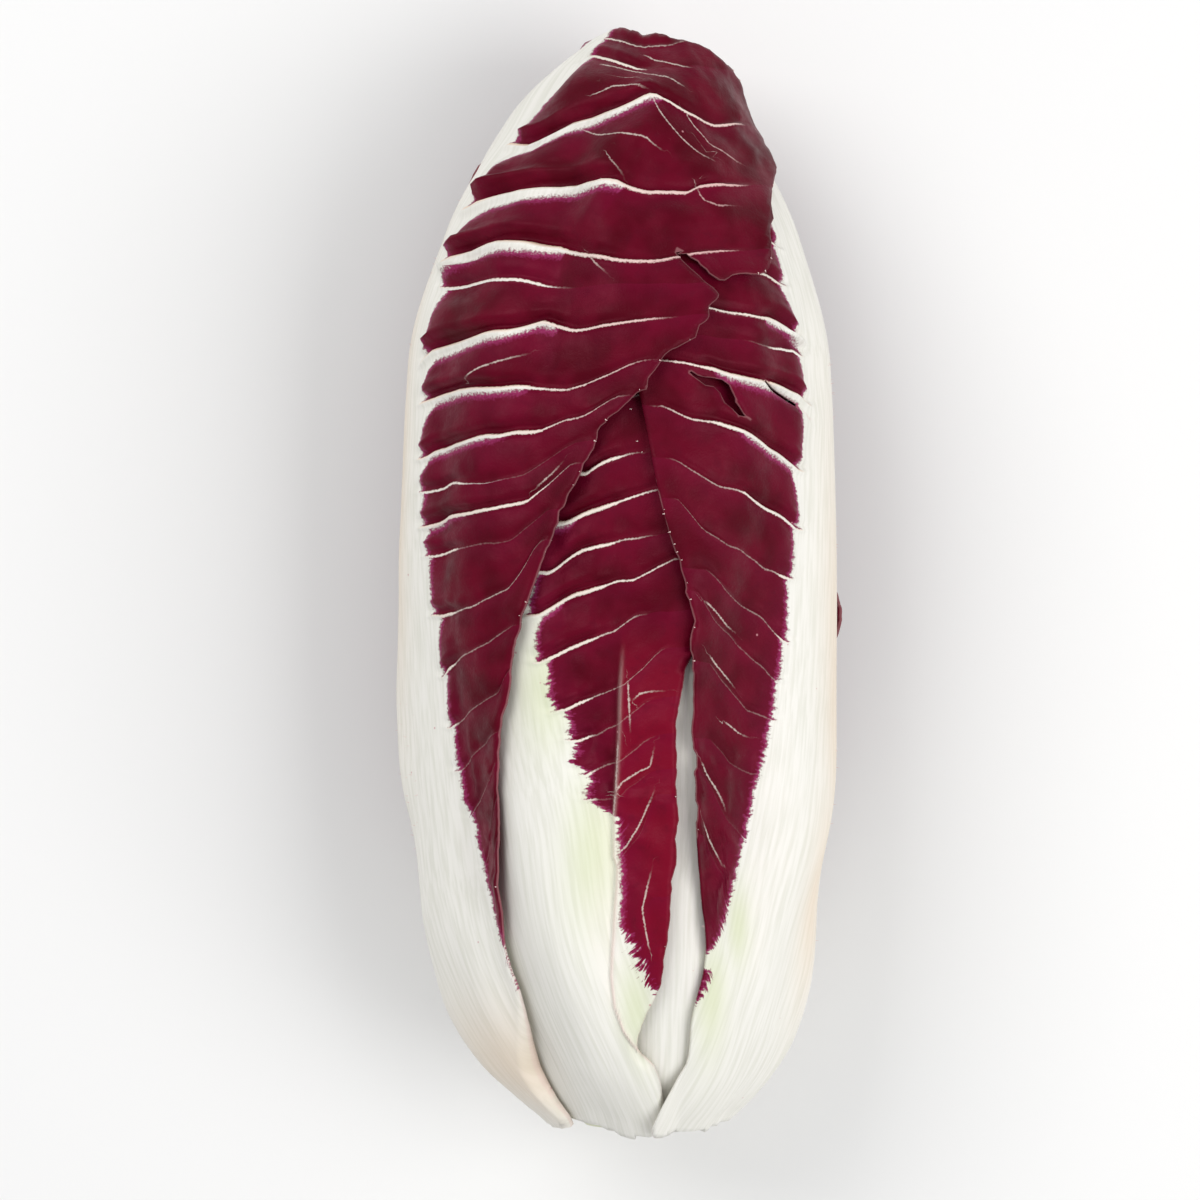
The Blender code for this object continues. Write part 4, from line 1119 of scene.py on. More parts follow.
# The middle leaf on top. Its broad white rib leans left down to the petiole, and to the right of it a
# crimson wing of blade is folded up along a crease and ends in a small curled tip.
middle_leaf = {
    **PLAIN,
    "name": "leaf_top_middle",
    "title": "middle_leaf",
    "seed": LEAF_SEED + 30,
    "foot": -110.5,
    "tip": 103.0,
    "rib": ((-105, -12), (-90, -18), (-73, -23), (-50, -28), (-25, -34), (0, -38), (90, -40)),
    "left": ((-105, -88), (-85, -84), (-60, -80), (-20, -96), (50, -118), (100, -95)),
    "right": (
        (-105, 12),
        (-97, 9),
        (-92, 4),
        (-85, 4.7),
        (-78, 11.5),
        (-50, 13.5),
        (-24, 15),
        (-12, 21),
        (10, 36),
        (60, 44),
        (100, 25),
    ),
    "rib_half": ((-105, 13), (-73, 13.5), (-50, 15), (-25, 12), (0, 11), (60, 6), (100, 3)),
    "right_edge": (
        (-103.0, 10.0),
        (-97.0, 8.0),
        (-93.1, 5.2),
        (-91.2, 0.8),
        (-89.8, -0.5),
        (-87.6, 0.0),
        (-85.6, 1.5),
        (-81.3, 5.8),
        (-76.3, 9.0),
        (-69.0, 11.5),
        (-62.9, 12.0),
        (-57.0, 11.2),
        (-53.3, 12.8),
        (-38.9, 12.2),
        (-22.5, 13.5),
        (-12.9, 17.2),
        (-5.5, 21.2),
        (10, 34),
        (60, 42),
        (92, 30),
    ),
    "right_red": (
        (26.9, -16.0),
        (19.4, -22.0),
        (9.8, -27.0),
        (1.3, -29.0),
        (-9.1, -28.5),
        (-15.3, -25.8),
        (-23.5, -22.2),
        (-26.6, -18.2),
        (-30.9, -17.0),
        (-34.7, -17.5),
        (-35.8, -13.5),
        (-37.6, -12.5),
        (-41.4, -13.0),
        (-43.8, -7.8),
        (-45.0, -4.6),
        (-52.3, -3.6),
        (-60.0, -2.4),
        (-66.0, -3.2),
        (-67.4, -0.4),
        (-68.2, -2.2),
        (-69.6, 1.8),
        (-70.6, -0.8),
        (-72.4, 3.4),
        (-73.2, 0.8),
        (-75.4, 4.8),
        (-76.3, 2.6),
        (-78.0, 7.4),
        (-80.5, 12.0),
        (-84.0, 30.0),
    ),
    "veins": (
        ((-52.6, -3.0), (-47.4, 3.2), (-40.4, 6.8)),
        ((-41.4, -4.5), (-38.6, 0.5), (-35.8, 6.0)),
        ((-36.8, -13.0), (-35.0, -7.5), (-33.7, -2.2), (-29.1, 7.0)),
        ((-30.4, -16.0), (-28.9, -9.0), (-26.8, -2.8), (-22.5, 5.8)),
        ((-25.3, -22.0), (-22.7, -12.5), (-19.6, -1.8), (-16.3, 4.2), (-12.7, 9.2)),
        ((-15.5, -25.5), (-13.5, -19.8), (-11.4, -12.5), (-9.6, -4.5), (-6.2, 2.8)),
        ((-6.7, -26.2), (-2.6, -16.0), (0.0, -3.5), (0.5, 1.8), (4.1, 12.2)),
        ((1.8, -23.2), (5.2, -16.0), (6.0, -14.2), (7.3, -5.2), (8.8, 5.0)),
        ((11.1, -18.2), (13.5, -10.8), (15.0, -3.8), (17.4, 6.8)),
        ((20.7, -12.5), (22.8, -7.2), (24.6, 1.5)),
        ((33.0, -12.0), (36.0, 4.0)),
        ((45.0, -12.0), (49.0, 4.0)),
        ((58.0, -12.0), (62.0, 4.0)),
        ((72.0, -12.0), (76.0, 4.0)),
        ((85.0, -12.0), (88.0, 4.0)),
    ),
    "vein_widths": [0.3, 0.3, 0.4, 0.4, 0.5, 0.6, 0.8, 0.6, 0.85, 0.6, 0.5, 0.5, 0.5, 0.5, 0.4],
    "veins_in_degrees": True,
    "column_left": HIDDEN,
    "column_right": ((0, 6, 11, 33, 38, 46, 100), (1.5, 1.2, 0.5, 0.5, 0.8, 2.4, 2.6)),
    "puff": 1.2,
    "lumpiness": 1.1,
    "crumpled": 1.2,
    "curl": 0.5,
    "fold": (
        (-12.0, -2.0),
        (-19.1, -2.8),
        (-27.6, -3.2),
        (-33.7, -3.8),
        (-39.6, -4.5),
        (-44.3, -5.2),
        (-52.3, -5.0),
        (-54.4, -3.8),
        (-58.5, -3.8),
        (-67.3, -4.8),
        (-75.0, -6.5),
        (-81.3, -6.5),
        (-86.2, -4.5),
        (-89.8, -0.8),
        (-92.8, 4.2),
    ),
    "fold_height": 1.7,
    "fringe": (
        (-100, 4.0),
        (-70, 4.0),
        (-65, 0.8),
        (-50, 0.6),
        (-46, 2.6),
        (-25, 2.0),
        (-12, 1.0),
        (30, 0.8),
    ),
    "left_red": ((100, -55), (-30, -62), (-55, -75), (-70, -120), (-112, -120)),
    "green": ((-51, -11, 5.5, 15), (-20, -24, 6, 12), (-82, 1, 4, 10)),
    "branches": (
        ((-40.4, -4.8), (-38.1, -2.5), (-36.0, 2.5), (-35.2, 5.5), (-30.9, 7.0)),
        ((-52.3, -4.8), (-50.5, -1.5), (-46.1, 2.5), (-42.5, 4.8), (-38.9, 7.0)),
        ((-22.5, 0.8), (-21.2, 3.0), (-20.7, 6.2), (-20.7, 10.8)),
        ((-18.6, -0.5), (-22.5, -0.2), (-29.1, 0.2)),
        ((-70.0, 6.0), (-62.0, 4.0), (-54.0, 6.5)),
        ((-30.0, -3.5), (-39.6, -4.5), (-44.3, -5.2), (-52.3, -5.0), (-58.5, -3.8), (-67.3, -4.8)),
    ),
}
cover = lay_leaf(middle_leaf, cover, leaf_material)
edges = [margin_of(middle_leaf, cover)]

# The leaf wrapping from the right. Its thick white rib makes the right outline, and its blade comes
# over the top, split by one open crack that curls back and one that is closed.
right_leaf = {
    **PLAIN,
    "name": "leaf_right_wrap",
    "title": "right_wrapping_leaf",
    "seed": LEAF_SEED + 40,
    "foot": -109.5,
    "tip": 105.5,
    "rib": ((-105, 50), (-90, 54), (-60, 64), (-30, 71), (0, 75), (40, 80), (65, 84), (100, 74)),
    "left": (
        (-106, 4),
        (-101, 9),
        (-96, 16),
        (-92, 19.8),
        (-85, 20.5),
        (-71, 24.8),
        (-61, 23),
        (-49, 20),
        (-20, 17.6),
        (-2, 16),
        (18, 10),
        (37, 4.8),
        (50, -4),
        (80, -15),
        (100, -8),
    ),
    "right": ((-105, 80), (-80, 95), (-50, 114), (0, 138), (50, 152), (85, 156), (100, 140)),
    "rib_half": ((-105, 14), (-80, 17), (-50, 17), (-20, 15.5), (0, 14), (25, 12), (60, 8), (100, 4)),
    "left_edge": (
        (-104.0, 2.5),
        (-101.4, 6.2),
        (-98.6, 9.2),
        (-95.9, 13.5),
        (-93.1, 16.8),
        (-89.6, 17.0),
        (-84.1, 17.5),
        (-78.0, 18.2),
        (-70.9, 22.2),
        (-61.1, 20.2),
        (-51.8, 17.8),
        (-27.6, 17.0),
        (-14.5, 17.0),
        (-5.5, 16.2),
        (4.1, 13.0),
        (12.7, 9.2),
        (14.5, 8.5),
        (21.0, 6.0),
        (27.7, 0.8),
        (32.9, 0.5),
        (50, -5),
        (80, -15),
        (92, -12),
    ),
    "left_red": (
        (82, 55),
        (69.7, 58.2),
        (66.1, 59.0),
        (57.3, 56.2),
        (46.5, 59.8),
        (34.2, 59.8),
        (21.2, 56.5),
        (10.1, 55.8),
        (0.8, 52.8),
        (-11.1, 51.2),
        (-18.6, 48.5),
        (-26.3, 46.5),
        (-36.8, 42.5),
        (-49.2, 37.5),
        (-53.6, 35.5),
        (-57.8, 34.0),
        (-62.4, 32.0),
        (-66.0, 30.3),
        (-68.7, 27.0),
        (-70.6, 24.6),
        (-71.6, 22.0),
        (-72.2, 14.0),
        (-73.2, 24.5),
        (-75.0, 26.0),
        (-77.9, 24.0),
        (-80.6, 21.5),
        (-84.0, 12.0),
        (-87.0, -40.0),
    ),
    "veins": (
        ((-61.1, 30.8), (-57.5, 29.8), (-51.8, 23.5), (-47.9, 20.0)),
        ((-49.5, 37.0), (-45.1, 28.5), (-40.1, 23.8), (-35.2, 19.2)),
        ((-37.3, 42.5), (-36.0, 35.2), (-34.7, 30.2), (-29.9, 22.8)),
        ((-26.6, 46.0), (-24.8, 37.2), (-21.7, 32.0), (-18.3, 26.2), (-15.3, 21.8)),
        ((-19.1, 48.0), (-14.5, 37.8), (-11.4, 31.8), (-7.3, 23.2), (-1.8, 18.0)),
        ((-11.9, 50.8), (-9.6, 46.5), (-6.5, 40.8), (-4.7, 34.5), (-1.8, 27.0), (2.3, 20.8)),
        ((0.5, 52.2), (2.8, 41.5), (5.4, 34.2), (7.3, 26.8), (10.1, 19.8), (15.5, 13.0)),
        ((10.1, 55.5), (12.9, 48.2), (15.5, 36.2), (17.1, 33.0), (17.9, 25.0), (20.5, 18.8), (23.1, 12.0)),
        ((21.2, 56.5), (23.6, 49.8), (26.4, 40.5), (28.8, 31.5), (30.3, 24.0), (30.8, 16.8), (33.4, 8.8)),
        ((34.2, 60.2), (37.0, 49.8), (38.3, 38.5), (38.8, 32.5), (39.3, 27.0), (40.6, 21.8), (41.8, 10.2)),
        ((43.5, 58.5), (44.7, 55.8), (44.7, 45.5), (45.9, 34.8)),
        ((46.5, 60.0), (49.0, 52.5), (50.5, 44.2), (51.0, 34.5), (52.1, 23.2), (53.0, 16.2)),
        ((57.3, 56.2), (59.1, 47.2), (59.4, 42.5), (60.2, 32.8)),
        ((64.7, 58.0), (66.9, 52.0), (68.6, 47.2), (70.0, 39.5)),
        ((76.0, 60.0), (80.0, 40.0)),
        ((88.0, 60.0), (92.0, 40.0)),
    ),
    "vein_widths": [0.3, 0.3, 0.35, 0.4, 0.4, 0.45, 0.5, 0.6, 0.85, 1.1, 0.35, 1.1, 0.55, 0.55, 0.5, 0.4],
    "veins_in_degrees": True,
    "veins_side": -1,
    "vein_knots": [None] * 7 + [33.0, 24.0, 21.8] + [None] * 6,
    "column_left": ((0, 10, 14, 46, 52, 100), (1.5, 1.4, 0.8, 0.75, 1.5, 1.6)),
    "column_right": ((0, 8, 30, 100), (1.6, 1.8, 2.6, 2.6)),
    "puff": 1.3,
    "lumpiness": 1.1,
    "crumpled": 1.4,
    "curl": 0.6,
    "swells": ((-90, 85, 22, 16, 3.2),),
    "fringe": ((-90, 2.5), (-60, 2.2), (-45, 1.5), (0, 0.9), (100, 0.8)),
    "green": ((-79, 26, 4, 12), (-66, 36, 3, 8)),
    "beige": ((-20, 74, 6, 45), (-60, 68, 5, 20)),
    "branches": (
        ((-33.7, 19.2), (-37.8, 22.8), (-41.4, 26.8), (-44.3, 28.8)),
        ((-45.1, 20.0), (-48.9, 22.2), (-52.3, 26.2), (-54.9, 28.8)),
        ((-13.7, 21.8), (-16.3, 25.5), (-18.9, 30.0), (-20.9, 33.0)),
        ((-3.4, 19.8), (-5.7, 24.0), (-8.3, 28.2), (-10.1, 32.8)),
        ((-26.6, 28.0), (-29.0, 34.0), (-30.0, 39.0)),
    ),
    "cracks": (
        {
            "line": (
                (40.0, 16.0),
                (38.3, 19.8),
                (37.7, 25.8),
                (34.2, 28.2),
                (31.8, 31.2),
                (30.8, 34.5),
            ),
            "wide": 1.25,
        },
        {"line": ((38.5, 40.8), (36.7, 45.0), (33.6, 55.2), (31.3, 63.2)), "wide": 0.4},
    ),
}
cover = lay_leaf(right_leaf, cover, leaf_material)
edges.append(margin_of(right_leaf, cover))

# The outer leaf on the right flank. It lies on its white rib low on the right, and only its waved
# edge comes up far enough to break the right outline.
flank_leaf = {
    **PLAIN,
    "name": "leaf_right_flank",
    "title": "right_flank_leaf",
    "seed": LEAF_SEED + 50,
    "foot": -109.0,
    "tip": 100.0,
    "rib": ((-105, 118), (-50, 122), (0, 124), (96, 128)),
    "left": (
        (-105, 98),
        (-70, 96),
        (-30, 94),
        (-14, 95),
        (-7, 88),
        (0, 94),
        (12, 104),
        (60, 114),
        (96, 120),
    ),
    "right": ((-105, 146), (-70, 168), (-20, 198), (60, 208), (96, 185)),
    "rib_half": ((-105, 12), (-80, 14), (-50, 14), (0, 10), (60, 7), (96, 3.5)),
    "column_left": ((0, 12, 16, 100), (1.6, 1.6, 0.9, 0.9)),
    "column_right": ((0, 12, 44, 50, 100), (1.7, 1.9, 1.9, 1.2, 1.2)),
    "curl": 0.4,
    "swells": ((-92, 100, 22, 16, 1.2),),
}
cover = lay_leaf(flank_leaf, cover, leaf_material)
edges.append(margin_of(flank_leaf, cover))

# The leaf wrapping from the left, the largest. Its rib makes the left outline, its blade crosses the
# top and closes over the tip, and its free edge is torn into two flaps by a slit.
left_leaf = {
    **PLAIN,
    "name": "leaf_left_wrap",
    "title": "left_wrapping_leaf",
    "seed": LEAF_SEED + 60,
    "foot": -110.0,
    "tip": 112.0,
    "tip_rounding": 0.055,
    "rib": ((-105, -68), (-80, -70), (-40, -76), (0, -79), (45, -79), (75, -72), (90, -64), (104, -66)),
    "left": ((-105, -92), (-80, -104), (-50, -120), (0, -146), (50, -162), (85, -168), (104, -150)),
    "right": (
        (-106, -58),
        (-103, -58),
        (-100, -56),
        (-95, -52),
        (-85, -43.5),
        (-76, -41),
        (-67, -38.3),
        (-43, -34),
        (-22, -30),
        (-2, -21.5),
        (18, -11),
        (32, 0),
        (43, 12),
        (53, 28),
        (64, 46),
        (73, 59),
        (81, 76),
        (90, 86),
        (104, 84),
    ),
    "rib_half": (
        (-105, 13),
        (-80, 15),
        (-55, 16),
        (-36, 15),
        (0, 13),
        (45, 11),
        (74, 8.5),
        (88, 5.6),
        (104, 3.5),
    ),
    "right_edge": (
        (-102.4, -57.0),
        (-100.5, -57.0),
        (-96.4, -55.0),
        (-92.0, -50.5),
        (-87.9, -46.5),
        (-82.1, -43.0),
        (-77.1, -42.0),
        (-73.1, -42.0),
        (-63.5, -40.2),
        (-53.1, -39.0),
        (-39.1, -38.5),
        (-34.0, -37.0),
        (-25.5, -34.8),
        (-15.0, -32.0),
        (-7.3, -29.5),
        (0.2, -25.5),
        (5.2, -23.0),
        (11.7, -19.5),
        (17.4, -16.2),
        (23.1, -12.5),
        (28.5, -8.5),
        (31.1, -5.0),
        (32.1, -2.5),
        (34.2, 0.2),
        (36.0, 1.2),
        (36.5, 4.2),
        (38.8, 4.8),
        (41.1, 7.2),
        (44.1, 11.5),
        (45.6, 17.2),
        (48.2, 18.2),
        (49.9, 21.5),
        (51.9, 22.0),
        (53.2, 25.2),
        (54.6, 26.5),
        (57.3, 21.0),
        (59.9, 16.5),
        (62.5, 12.5),
        (63.0, 14.0),
        (60.9, 18.2),
        (58.6, 22.5),
        (57.0, 27.0),
        (57.8, 30.5),
        (58.3, 35.0),
        (58.1, 39.5),
        (58.6, 44.5),
        (61.4, 46.8),
        (64.7, 47.5),
        (66.9, 47.8),
        (69.5, 52.5),
        (72.2, 53.5),
        (74.8, 58.8),
        (81, 76),
        (90, 86),
        (98, 85),
    ),
    "right_red": (
        (112.0, -42.0),
        (102.9, -44.0),
        (100.3, -47.0),
        (98.0, -50.0),
        (95.3, -53.0),
        (92.6, -56.0),
        (89.9, -58.5),
        (86.9, -60.5),
        (84.0, -61.5),
        (71.7, -67.0),
        (61.9, -69.2),
        (55.7, -66.5),
        (44.4, -68.5),
        (36.7, -67.5),
        (29.5, -68.2),
        (18.4, -68.2),
        (10.4, -67.0),
        (-3.4, -64.5),
        (-16.8, -61.5),
        (-27.3, -59.0),
        (-36.0, -57.0),
        (-41.7, -56.0),
        (-46.9, -52.2),
        (-51.3, -51.2),
        (-56.5, -48.5),
        (-61.4, -46.0),
        (-66.7, -44.2),
        (-71.2, -42.8),
        (-76.1, -42.5),
        (-80.0, -41.8),
        (-84.0, 10.0),
    ),
    "left_red": ((104, -100), (90, -104), (75, -106), (45, -102), (-40, -101), (-60, -112), (-84, -150)),
    "veins": (
        ((-68.4, -43.5), (-64.8, -41.0), (-59.6, -38.5)),
        ((-60.4, -45.8), (-57.0, -42.8), (-53.3, -41.5), (-48.2, -38.8)),
        ((-55.4, -49.2), (-50.0, -43.2), (-44.0, -40.2), (-40.4, -37.8)),
        ((-45.6, -54.5), (-41.7, -48.0), (-37.3, -40.2), (-34.0, -37.5)),
        ((-36.8, -57.0), (-34.2, -51.2), (-31.2, -43.2), (-28.1, -36.2)),
        ((-28.1, -59.0), (-26.0, -51.8), (-23.5, -44.8), (-20.9, -36.0), (-16.5, -33.2)),
        ((-18.3, -61.2), (-16.0, -56.5), (-13.5, -47.8), (-11.4, -39.8), (-8.3, -32.0)),
        ((-6.7, -63.0), (-5.7, -51.2), (-3.6, -40.8), (-1.0, -33.2), (2.1, -29.5), (7.8, -24.5)),
        ((4.9, -64.5), (6.2, -53.5), (8.0, -32.8), (13.5, -22.5)),
        ((10.4, -65.5), (12.4, -55.0), (14.0, -37.8), (15.0, -29.0), (16.8, -25.5), (22.5, -16.0)),
        ((17.1, -66.0), (17.9, -59.8), (18.9, -54.0), (18.9, -40.8), (20.5, -30.0), (26.7, -14.5)),
        (
            (23.6, -66.5),
            (25.1, -61.8),
            (27.5, -44.5),
            (28.2, -33.2),
            (28.8, -25.8),
            (29.9, -21.8),
            (31.6, -12.0),
            (35.2, -3.8),
        ),
        (
            (34.4, -69.2),
            (36.7, -52.2),
            (36.7, -40.5),
            (37.0, -29.0),
            (36.5, -18.2),
            (37.2, -13.2),
            (39.5, -5.0),
            (41.6, 1.5),
        ),
        (
            (41.6, -71.8),
            (44.4, -63.8),
            (46.2, -49.5),
            (47.6, -34.5),
            (49.6, -25.0),
            (47.6, -17.0),
            (48.5, -3.5),
            (49.6, 5.8),
        ),
        ((56.2, -64.2), (57.0, -51.2), (57.6, -37.0), (56.2, -20.5)),
        (
            (60.4, -69.0),
            (62.7, -58.2),
            (64.2, -45.0),
            (63.9, -24.5),
            (61.7, -13.5),
            (60.4, -4.2),
            (60.7, 10.5),
            (61.4, 15.0),
            (62.7, 27.0),
        ),
        (
            (70.9, -65.8),
            (73.5, -52.2),
            (74.8, -37.8),
            (75.8, -26.0),
            (75.6, -8.2),
            (74.0, 4.5),
            (73.5, 18.5),
            (75.3, 23.0),
            (75.8, 36.8),
        ),
        (
            (83.6, -52.5),
            (88.8, -30.5),
            (90.9, -11.8),
            (93.7, 5.5),
            (90.4, 21.5),
            (88.4, 36.2),
            (89.0, 52.2),
        ),
        ((101.5, -52.0), (104.1, -42.0), (104.1, -35.8), (103.2, -25.2), (101.2, -11.2), (100.4, -2.0)),
    ),
    "vein_widths": [
        *(0.3, 0.35, 0.4, 0.4, 0.4, 0.45, 0.5, 0.6, 0.35, 0.7),
        *(0.35, 0.8, 0.95, 1.25, 0.45, 1.65, 1.7, 1.4, 0.5),
    ],
    "vein_knots": [
        *[None] * 9,
        *(-25.5, None, -24.0, -27.0, -24.0, None, -22.0, -4.8, 6.2, None),
    ],
    "veins_in_degrees": True,
    "column_left": ((0, 12, 40, 60, 100), (1.6, 2.0, 2.6, 1.8, 1.8)),
    "column_right": ((0, 10, 14, 200), (1.4, 1.2, 0.85, 0.8)),
    "puff": 1.9,
    "lumpiness": 1.5,
    "crumpled": 0.6,
    "curl": 0.7,
    "swells": ((-87, -88, 15, 13, 2.5), (90, -75, 14, 14, 1.6)),
    "fringe": ((-90, 2.2), (-70, 1.6), (-40, 0.9), (60, 0.7), (110, 0.7)),
    "beige": ((-95, -60, 20, 12), (20, -84, 5, 40)),
    "branches": (
        ((92.6, 6.5), (89.7, 9.0), (86.5, 14.2), (83.8, 20.0), (81.4, 25.8), (79.9, 31.5)),
        ((90.2, 21.5), (87.7, 25.2), (84.0, 31.0), (81.7, 39.0), (80.5, 49.0)),
        ((88.1, -28.5), (86.7, -21.5), (85.5, -15.2), (85.1, -6.2), (83.8, 4.0), (81.7, 10.5)),
        ((104.1, -0.2), (102.3, 11.8), (100.6, 23.2), (99.8, 30.2)),
        ((101.7, -28.8), (100.6, -16.0), (99.5, -2.2), (97.7, 13.5), (95.3, 24.0)),
        ((94.2, -22.5), (95.8, -14.2), (96.1, -5.0), (95.0, 4.0)),
        ((75.3, 22.2), (72.7, 24.0), (71.4, 28.8), (71.7, 37.0)),
        ((80.1, -10.2), (78.2, -6.2), (76.8, -3.5)),
        ((62.2, -13.8), (59.9, -10.5), (57.6, -6.2)),
        ((39.0, -48.2), (40.8, -43.2), (42.1, -36.5), (43.5, -29.0)),
        ((17.9, -26.2), (20.2, -22.5), (23.3, -18.0)),
    ),
    "knots": (
        (95.0, 6.2, 2.2, 0.7),
        (76.3, -4.8, 2.2, 0.7),
        (65.4, -22.0, 2.0, 0.6),
        (50.2, -24.0, 2.0, 0.7),
        (37.2, -27.0, 1.8, 0.5),
        (29.0, -24.0, 1.8, 0.5),
        (16.8, -25.5, 1.6, 0.4),
    ),
}
cover = lay_leaf(left_leaf, cover, leaf_material)
edges.append(margin_of(left_leaf, cover))

# The outermost leaf on the underside, which the head rests on. Its stout rib is pressed flat where it
# lies on the table, and one edge comes up the left side near the tip.
under_leaf = {
    **PLAIN,
    "name": "leaf_under_outer",
    "title": "underside_leaf",
    "seed": LEAF_SEED + 70,
    "foot": -109.0,
    "tip": 104.0,
    "rib": ((-106, 176), (0, 173.5), (100, 176)),
    "left": ((-106, 150), (-80, 138), (-40, 122), (20, 108), (70, 106), (100, 125)),
    "right": (
        (-106, 206),
        (-80, 218),
        (-40, 230),
        (20, 238),
        (50, 240),
        (65, 243),
        (76, 248),
        (88, 251),
        (96, 247),
        (102, 240),
    ),
    "rib_half": ((-106, 15), (-60, 17), (0, 14), (60, 9), (100, 4)),
    "stoutness": 1.25,
    "column_left": ((0, 15, 40, 100), (1.8, 2.0, 2.0, 1.6)),
    "column_right": ((0, 15, 44, 54, 100), (1.8, 2.0, 2.0, 1.0, 1.0)),
    "curl": 0.4,
}
cover = lay_leaf(under_leaf, cover, leaf_material)
edges.append(margin_of(under_leaf, cover))

# The teeth and bristles. A chicory leaf's margin ends in tiny pale horny teeth a few millimetres
# apart, and its white rib has short soft bristles. They grow from the leaf, and are set along it here.
TOOTH_LENGTH = 0.5
TOOTH_WIDTH = 0.28
TOOTH_SHARE = 0.06  # of the points along the margin, which are OUTLINE_STEP apart
TOOTH_SEED = 3
BRISTLE_LENGTH = 0.8
BRISTLE_WIDTH = 0.12
BRISTLE_SHARE = 0.5
BRISTLE_PICK = 8
SMALLEST = 0.45  # of the full size, and the largest one's size
LARGEST = 1.2
TINY_CONE_SIDES = 5

# Dry leaf tooth: horny, pale pink-white, with hardly any gloss.
HORN_CLOUD = 1.429 * MM
horn, tree, shader = new_material("dry leaf tooth")
spot = add(tree, "ShaderNodeTexCoord").outputs["Object"]
tint = add(tree, "ShaderNodeTexNoise", {"Vector": spot, "Scale": 1 / HORN_CLOUD})
tint = add(tree, "ShaderNodeMix", {0: tint, 6: linear("#F3E4DC"), 7: linear("#D9A9A4")}, **COLOUR)
tree.links.new(tint.outputs[2], shader.inputs["Base Color"])
shader.inputs["Roughness"].default_value = 0.6

teeth_tree = bpy.data.node_groups.new("teeth along a margin", "GeometryNodeTree")
sockets = {}
for name, kind, way in (
    ("Margin", "NodeSocketGeometry", "INPUT"),
    ("Share grown", "NodeSocketFloat", "INPUT"),
    ("Length", "NodeSocketFloat", "INPUT"),
    ("Width", "NodeSocketFloat", "INPUT"),
    ("Seed", "NodeSocketInt", "INPUT"),
    ("Teeth", "NodeSocketGeometry", "OUTPUT"),
):
    sockets[name] = teeth_tree.interface.new_socket(name, in_out=way, socket_type=kind).identifier
given = teeth_tree.nodes.new("NodeGroupInput").outputs
chance = {6: given["Share grown"], 8: given["Seed"]}
grown = add(teeth_tree, "FunctionNodeRandomValue", chance, data_type="BOOLEAN")
outward = add(teeth_tree, "GeometryNodeInputNamedAttribute", {"Name": "outward"}, data_type="FLOAT_VECTOR")
turned = add(teeth_tree, "FunctionNodeAlignRotationToVector", {"Vector": outward}, axis="Z")
sizes = {2: SMALLEST, 3: LARGEST, 8: given["Seed"]}
size = add(teeth_tree, "FunctionNodeRandomValue", sizes, data_type="FLOAT")
root = add(teeth_tree, "ShaderNodeMath", {0: given["Width"], 1: 0.5}, operation="MULTIPLY")
tooth = add(
    teeth_tree,
    "GeometryNodeMeshCone",
    {
        "Vertices": TINY_CONE_SIDES,
        "Radius Top": 0.0,
        "Radius Bottom": root,
        "Depth": given["Length"],
    },
)
placed = add(
    teeth_tree,
    "GeometryNodeInstanceOnPoints",
    {
        "Points": given["Margin"],
        "Selection": next(o for o in grown.outputs if o.enabled),
        "Instance": tooth.outputs["Mesh"],
        "Rotation": turned,
        "Scale": next(o for o in size.outputs if o.enabled),
    },
)
real = add(teeth_tree, "GeometryNodeRealizeInstances", {"Geometry": placed})
real = add(teeth_tree, "GeometryNodeSetMaterial", {"Geometry": real, "Material": horn})
add(teeth_tree, "NodeGroupOutput", {"Teeth": real})


def grow(name, points, outward, share, length, width, seed):
    """Teeth or bristles on a share of the points, as a piece of its own on the leaves."""
    base = bpy.data.meshes.new(name + "_margin")
    base.from_pydata((points * MM).tolist(), [], [])
    base.attributes.new("outward", "FLOAT_VECTOR", "POINT").data.foreach_set(
        "vector", outward.astype(np.float32).ravel()
    )
    holder = bpy.data.objects.new(name + "_margin", base)
    bpy.context.scene.collection.objects.link(holder)
    growth = holder.modifiers.new("teeth", "NODES")
    growth.node_group = teeth_tree
    growth[sockets["Share grown"]] = share
    growth[sockets["Length"]] = length * MM
    growth[sockets["Width"]] = width * MM
    growth[sockets["Seed"]] = seed
    graph = bpy.context.evaluated_depsgraph_get()
    mesh = bpy.data.meshes.new_from_object(holder.evaluated_get(graph))
    holder.modifiers.remove(growth)
    bpy.data.objects.remove(holder)
    mesh.name = name
    piece = bpy.data.objects.new(name, mesh)
    bpy.context.scene.collection.objects.link(piece)
    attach(piece, "root")


grow(
    "margin_teeth",
    np.concatenate([points for points, _ in edges]),
    np.concatenate([away for _, away in edges]),
    TOOTH_SHARE,
    TOOTH_LENGTH,
    TOOTH_WIDTH,
    TOOTH_SEED,
)
# Where bristles stand on the outer ribs: the patch's first station, its angle and how many roots it has.
BRISTLED = ((5.0, 84.0, 80), (-70.0, 82.0, 40), (40.0, -88.0, 60), (-60.0, -84.0, 50))
PATCH_LENGTH = 40  # mm
PATCH_SPREAD = (-8, 10)  # degrees to both sides of its angle
BRISTLE_LEAN = 0.5
BRISTLE_SEED = 5
rng = np.random.default_rng(BRISTLE_SEED)
roots, leanings = [], []
for station, angle, count in BRISTLED:
    at = station + rng.uniform(0, PATCH_LENGTH, count)
    turn = angle + rng.uniform(*PATCH_SPREAD, count)
    height = read_field(cover, share_at(at), turn)
    low, high = place(share_at(at), turn, height - 0.1), place(share_at(at), turn, height + 1.0)
    lean = high - low + rng.uniform(-BRISTLE_LEAN, BRISTLE_LEAN, (count, 3))
    roots.append(low)
    leanings.append(lean / np.linalg.norm(lean, axis=1, keepdims=True))
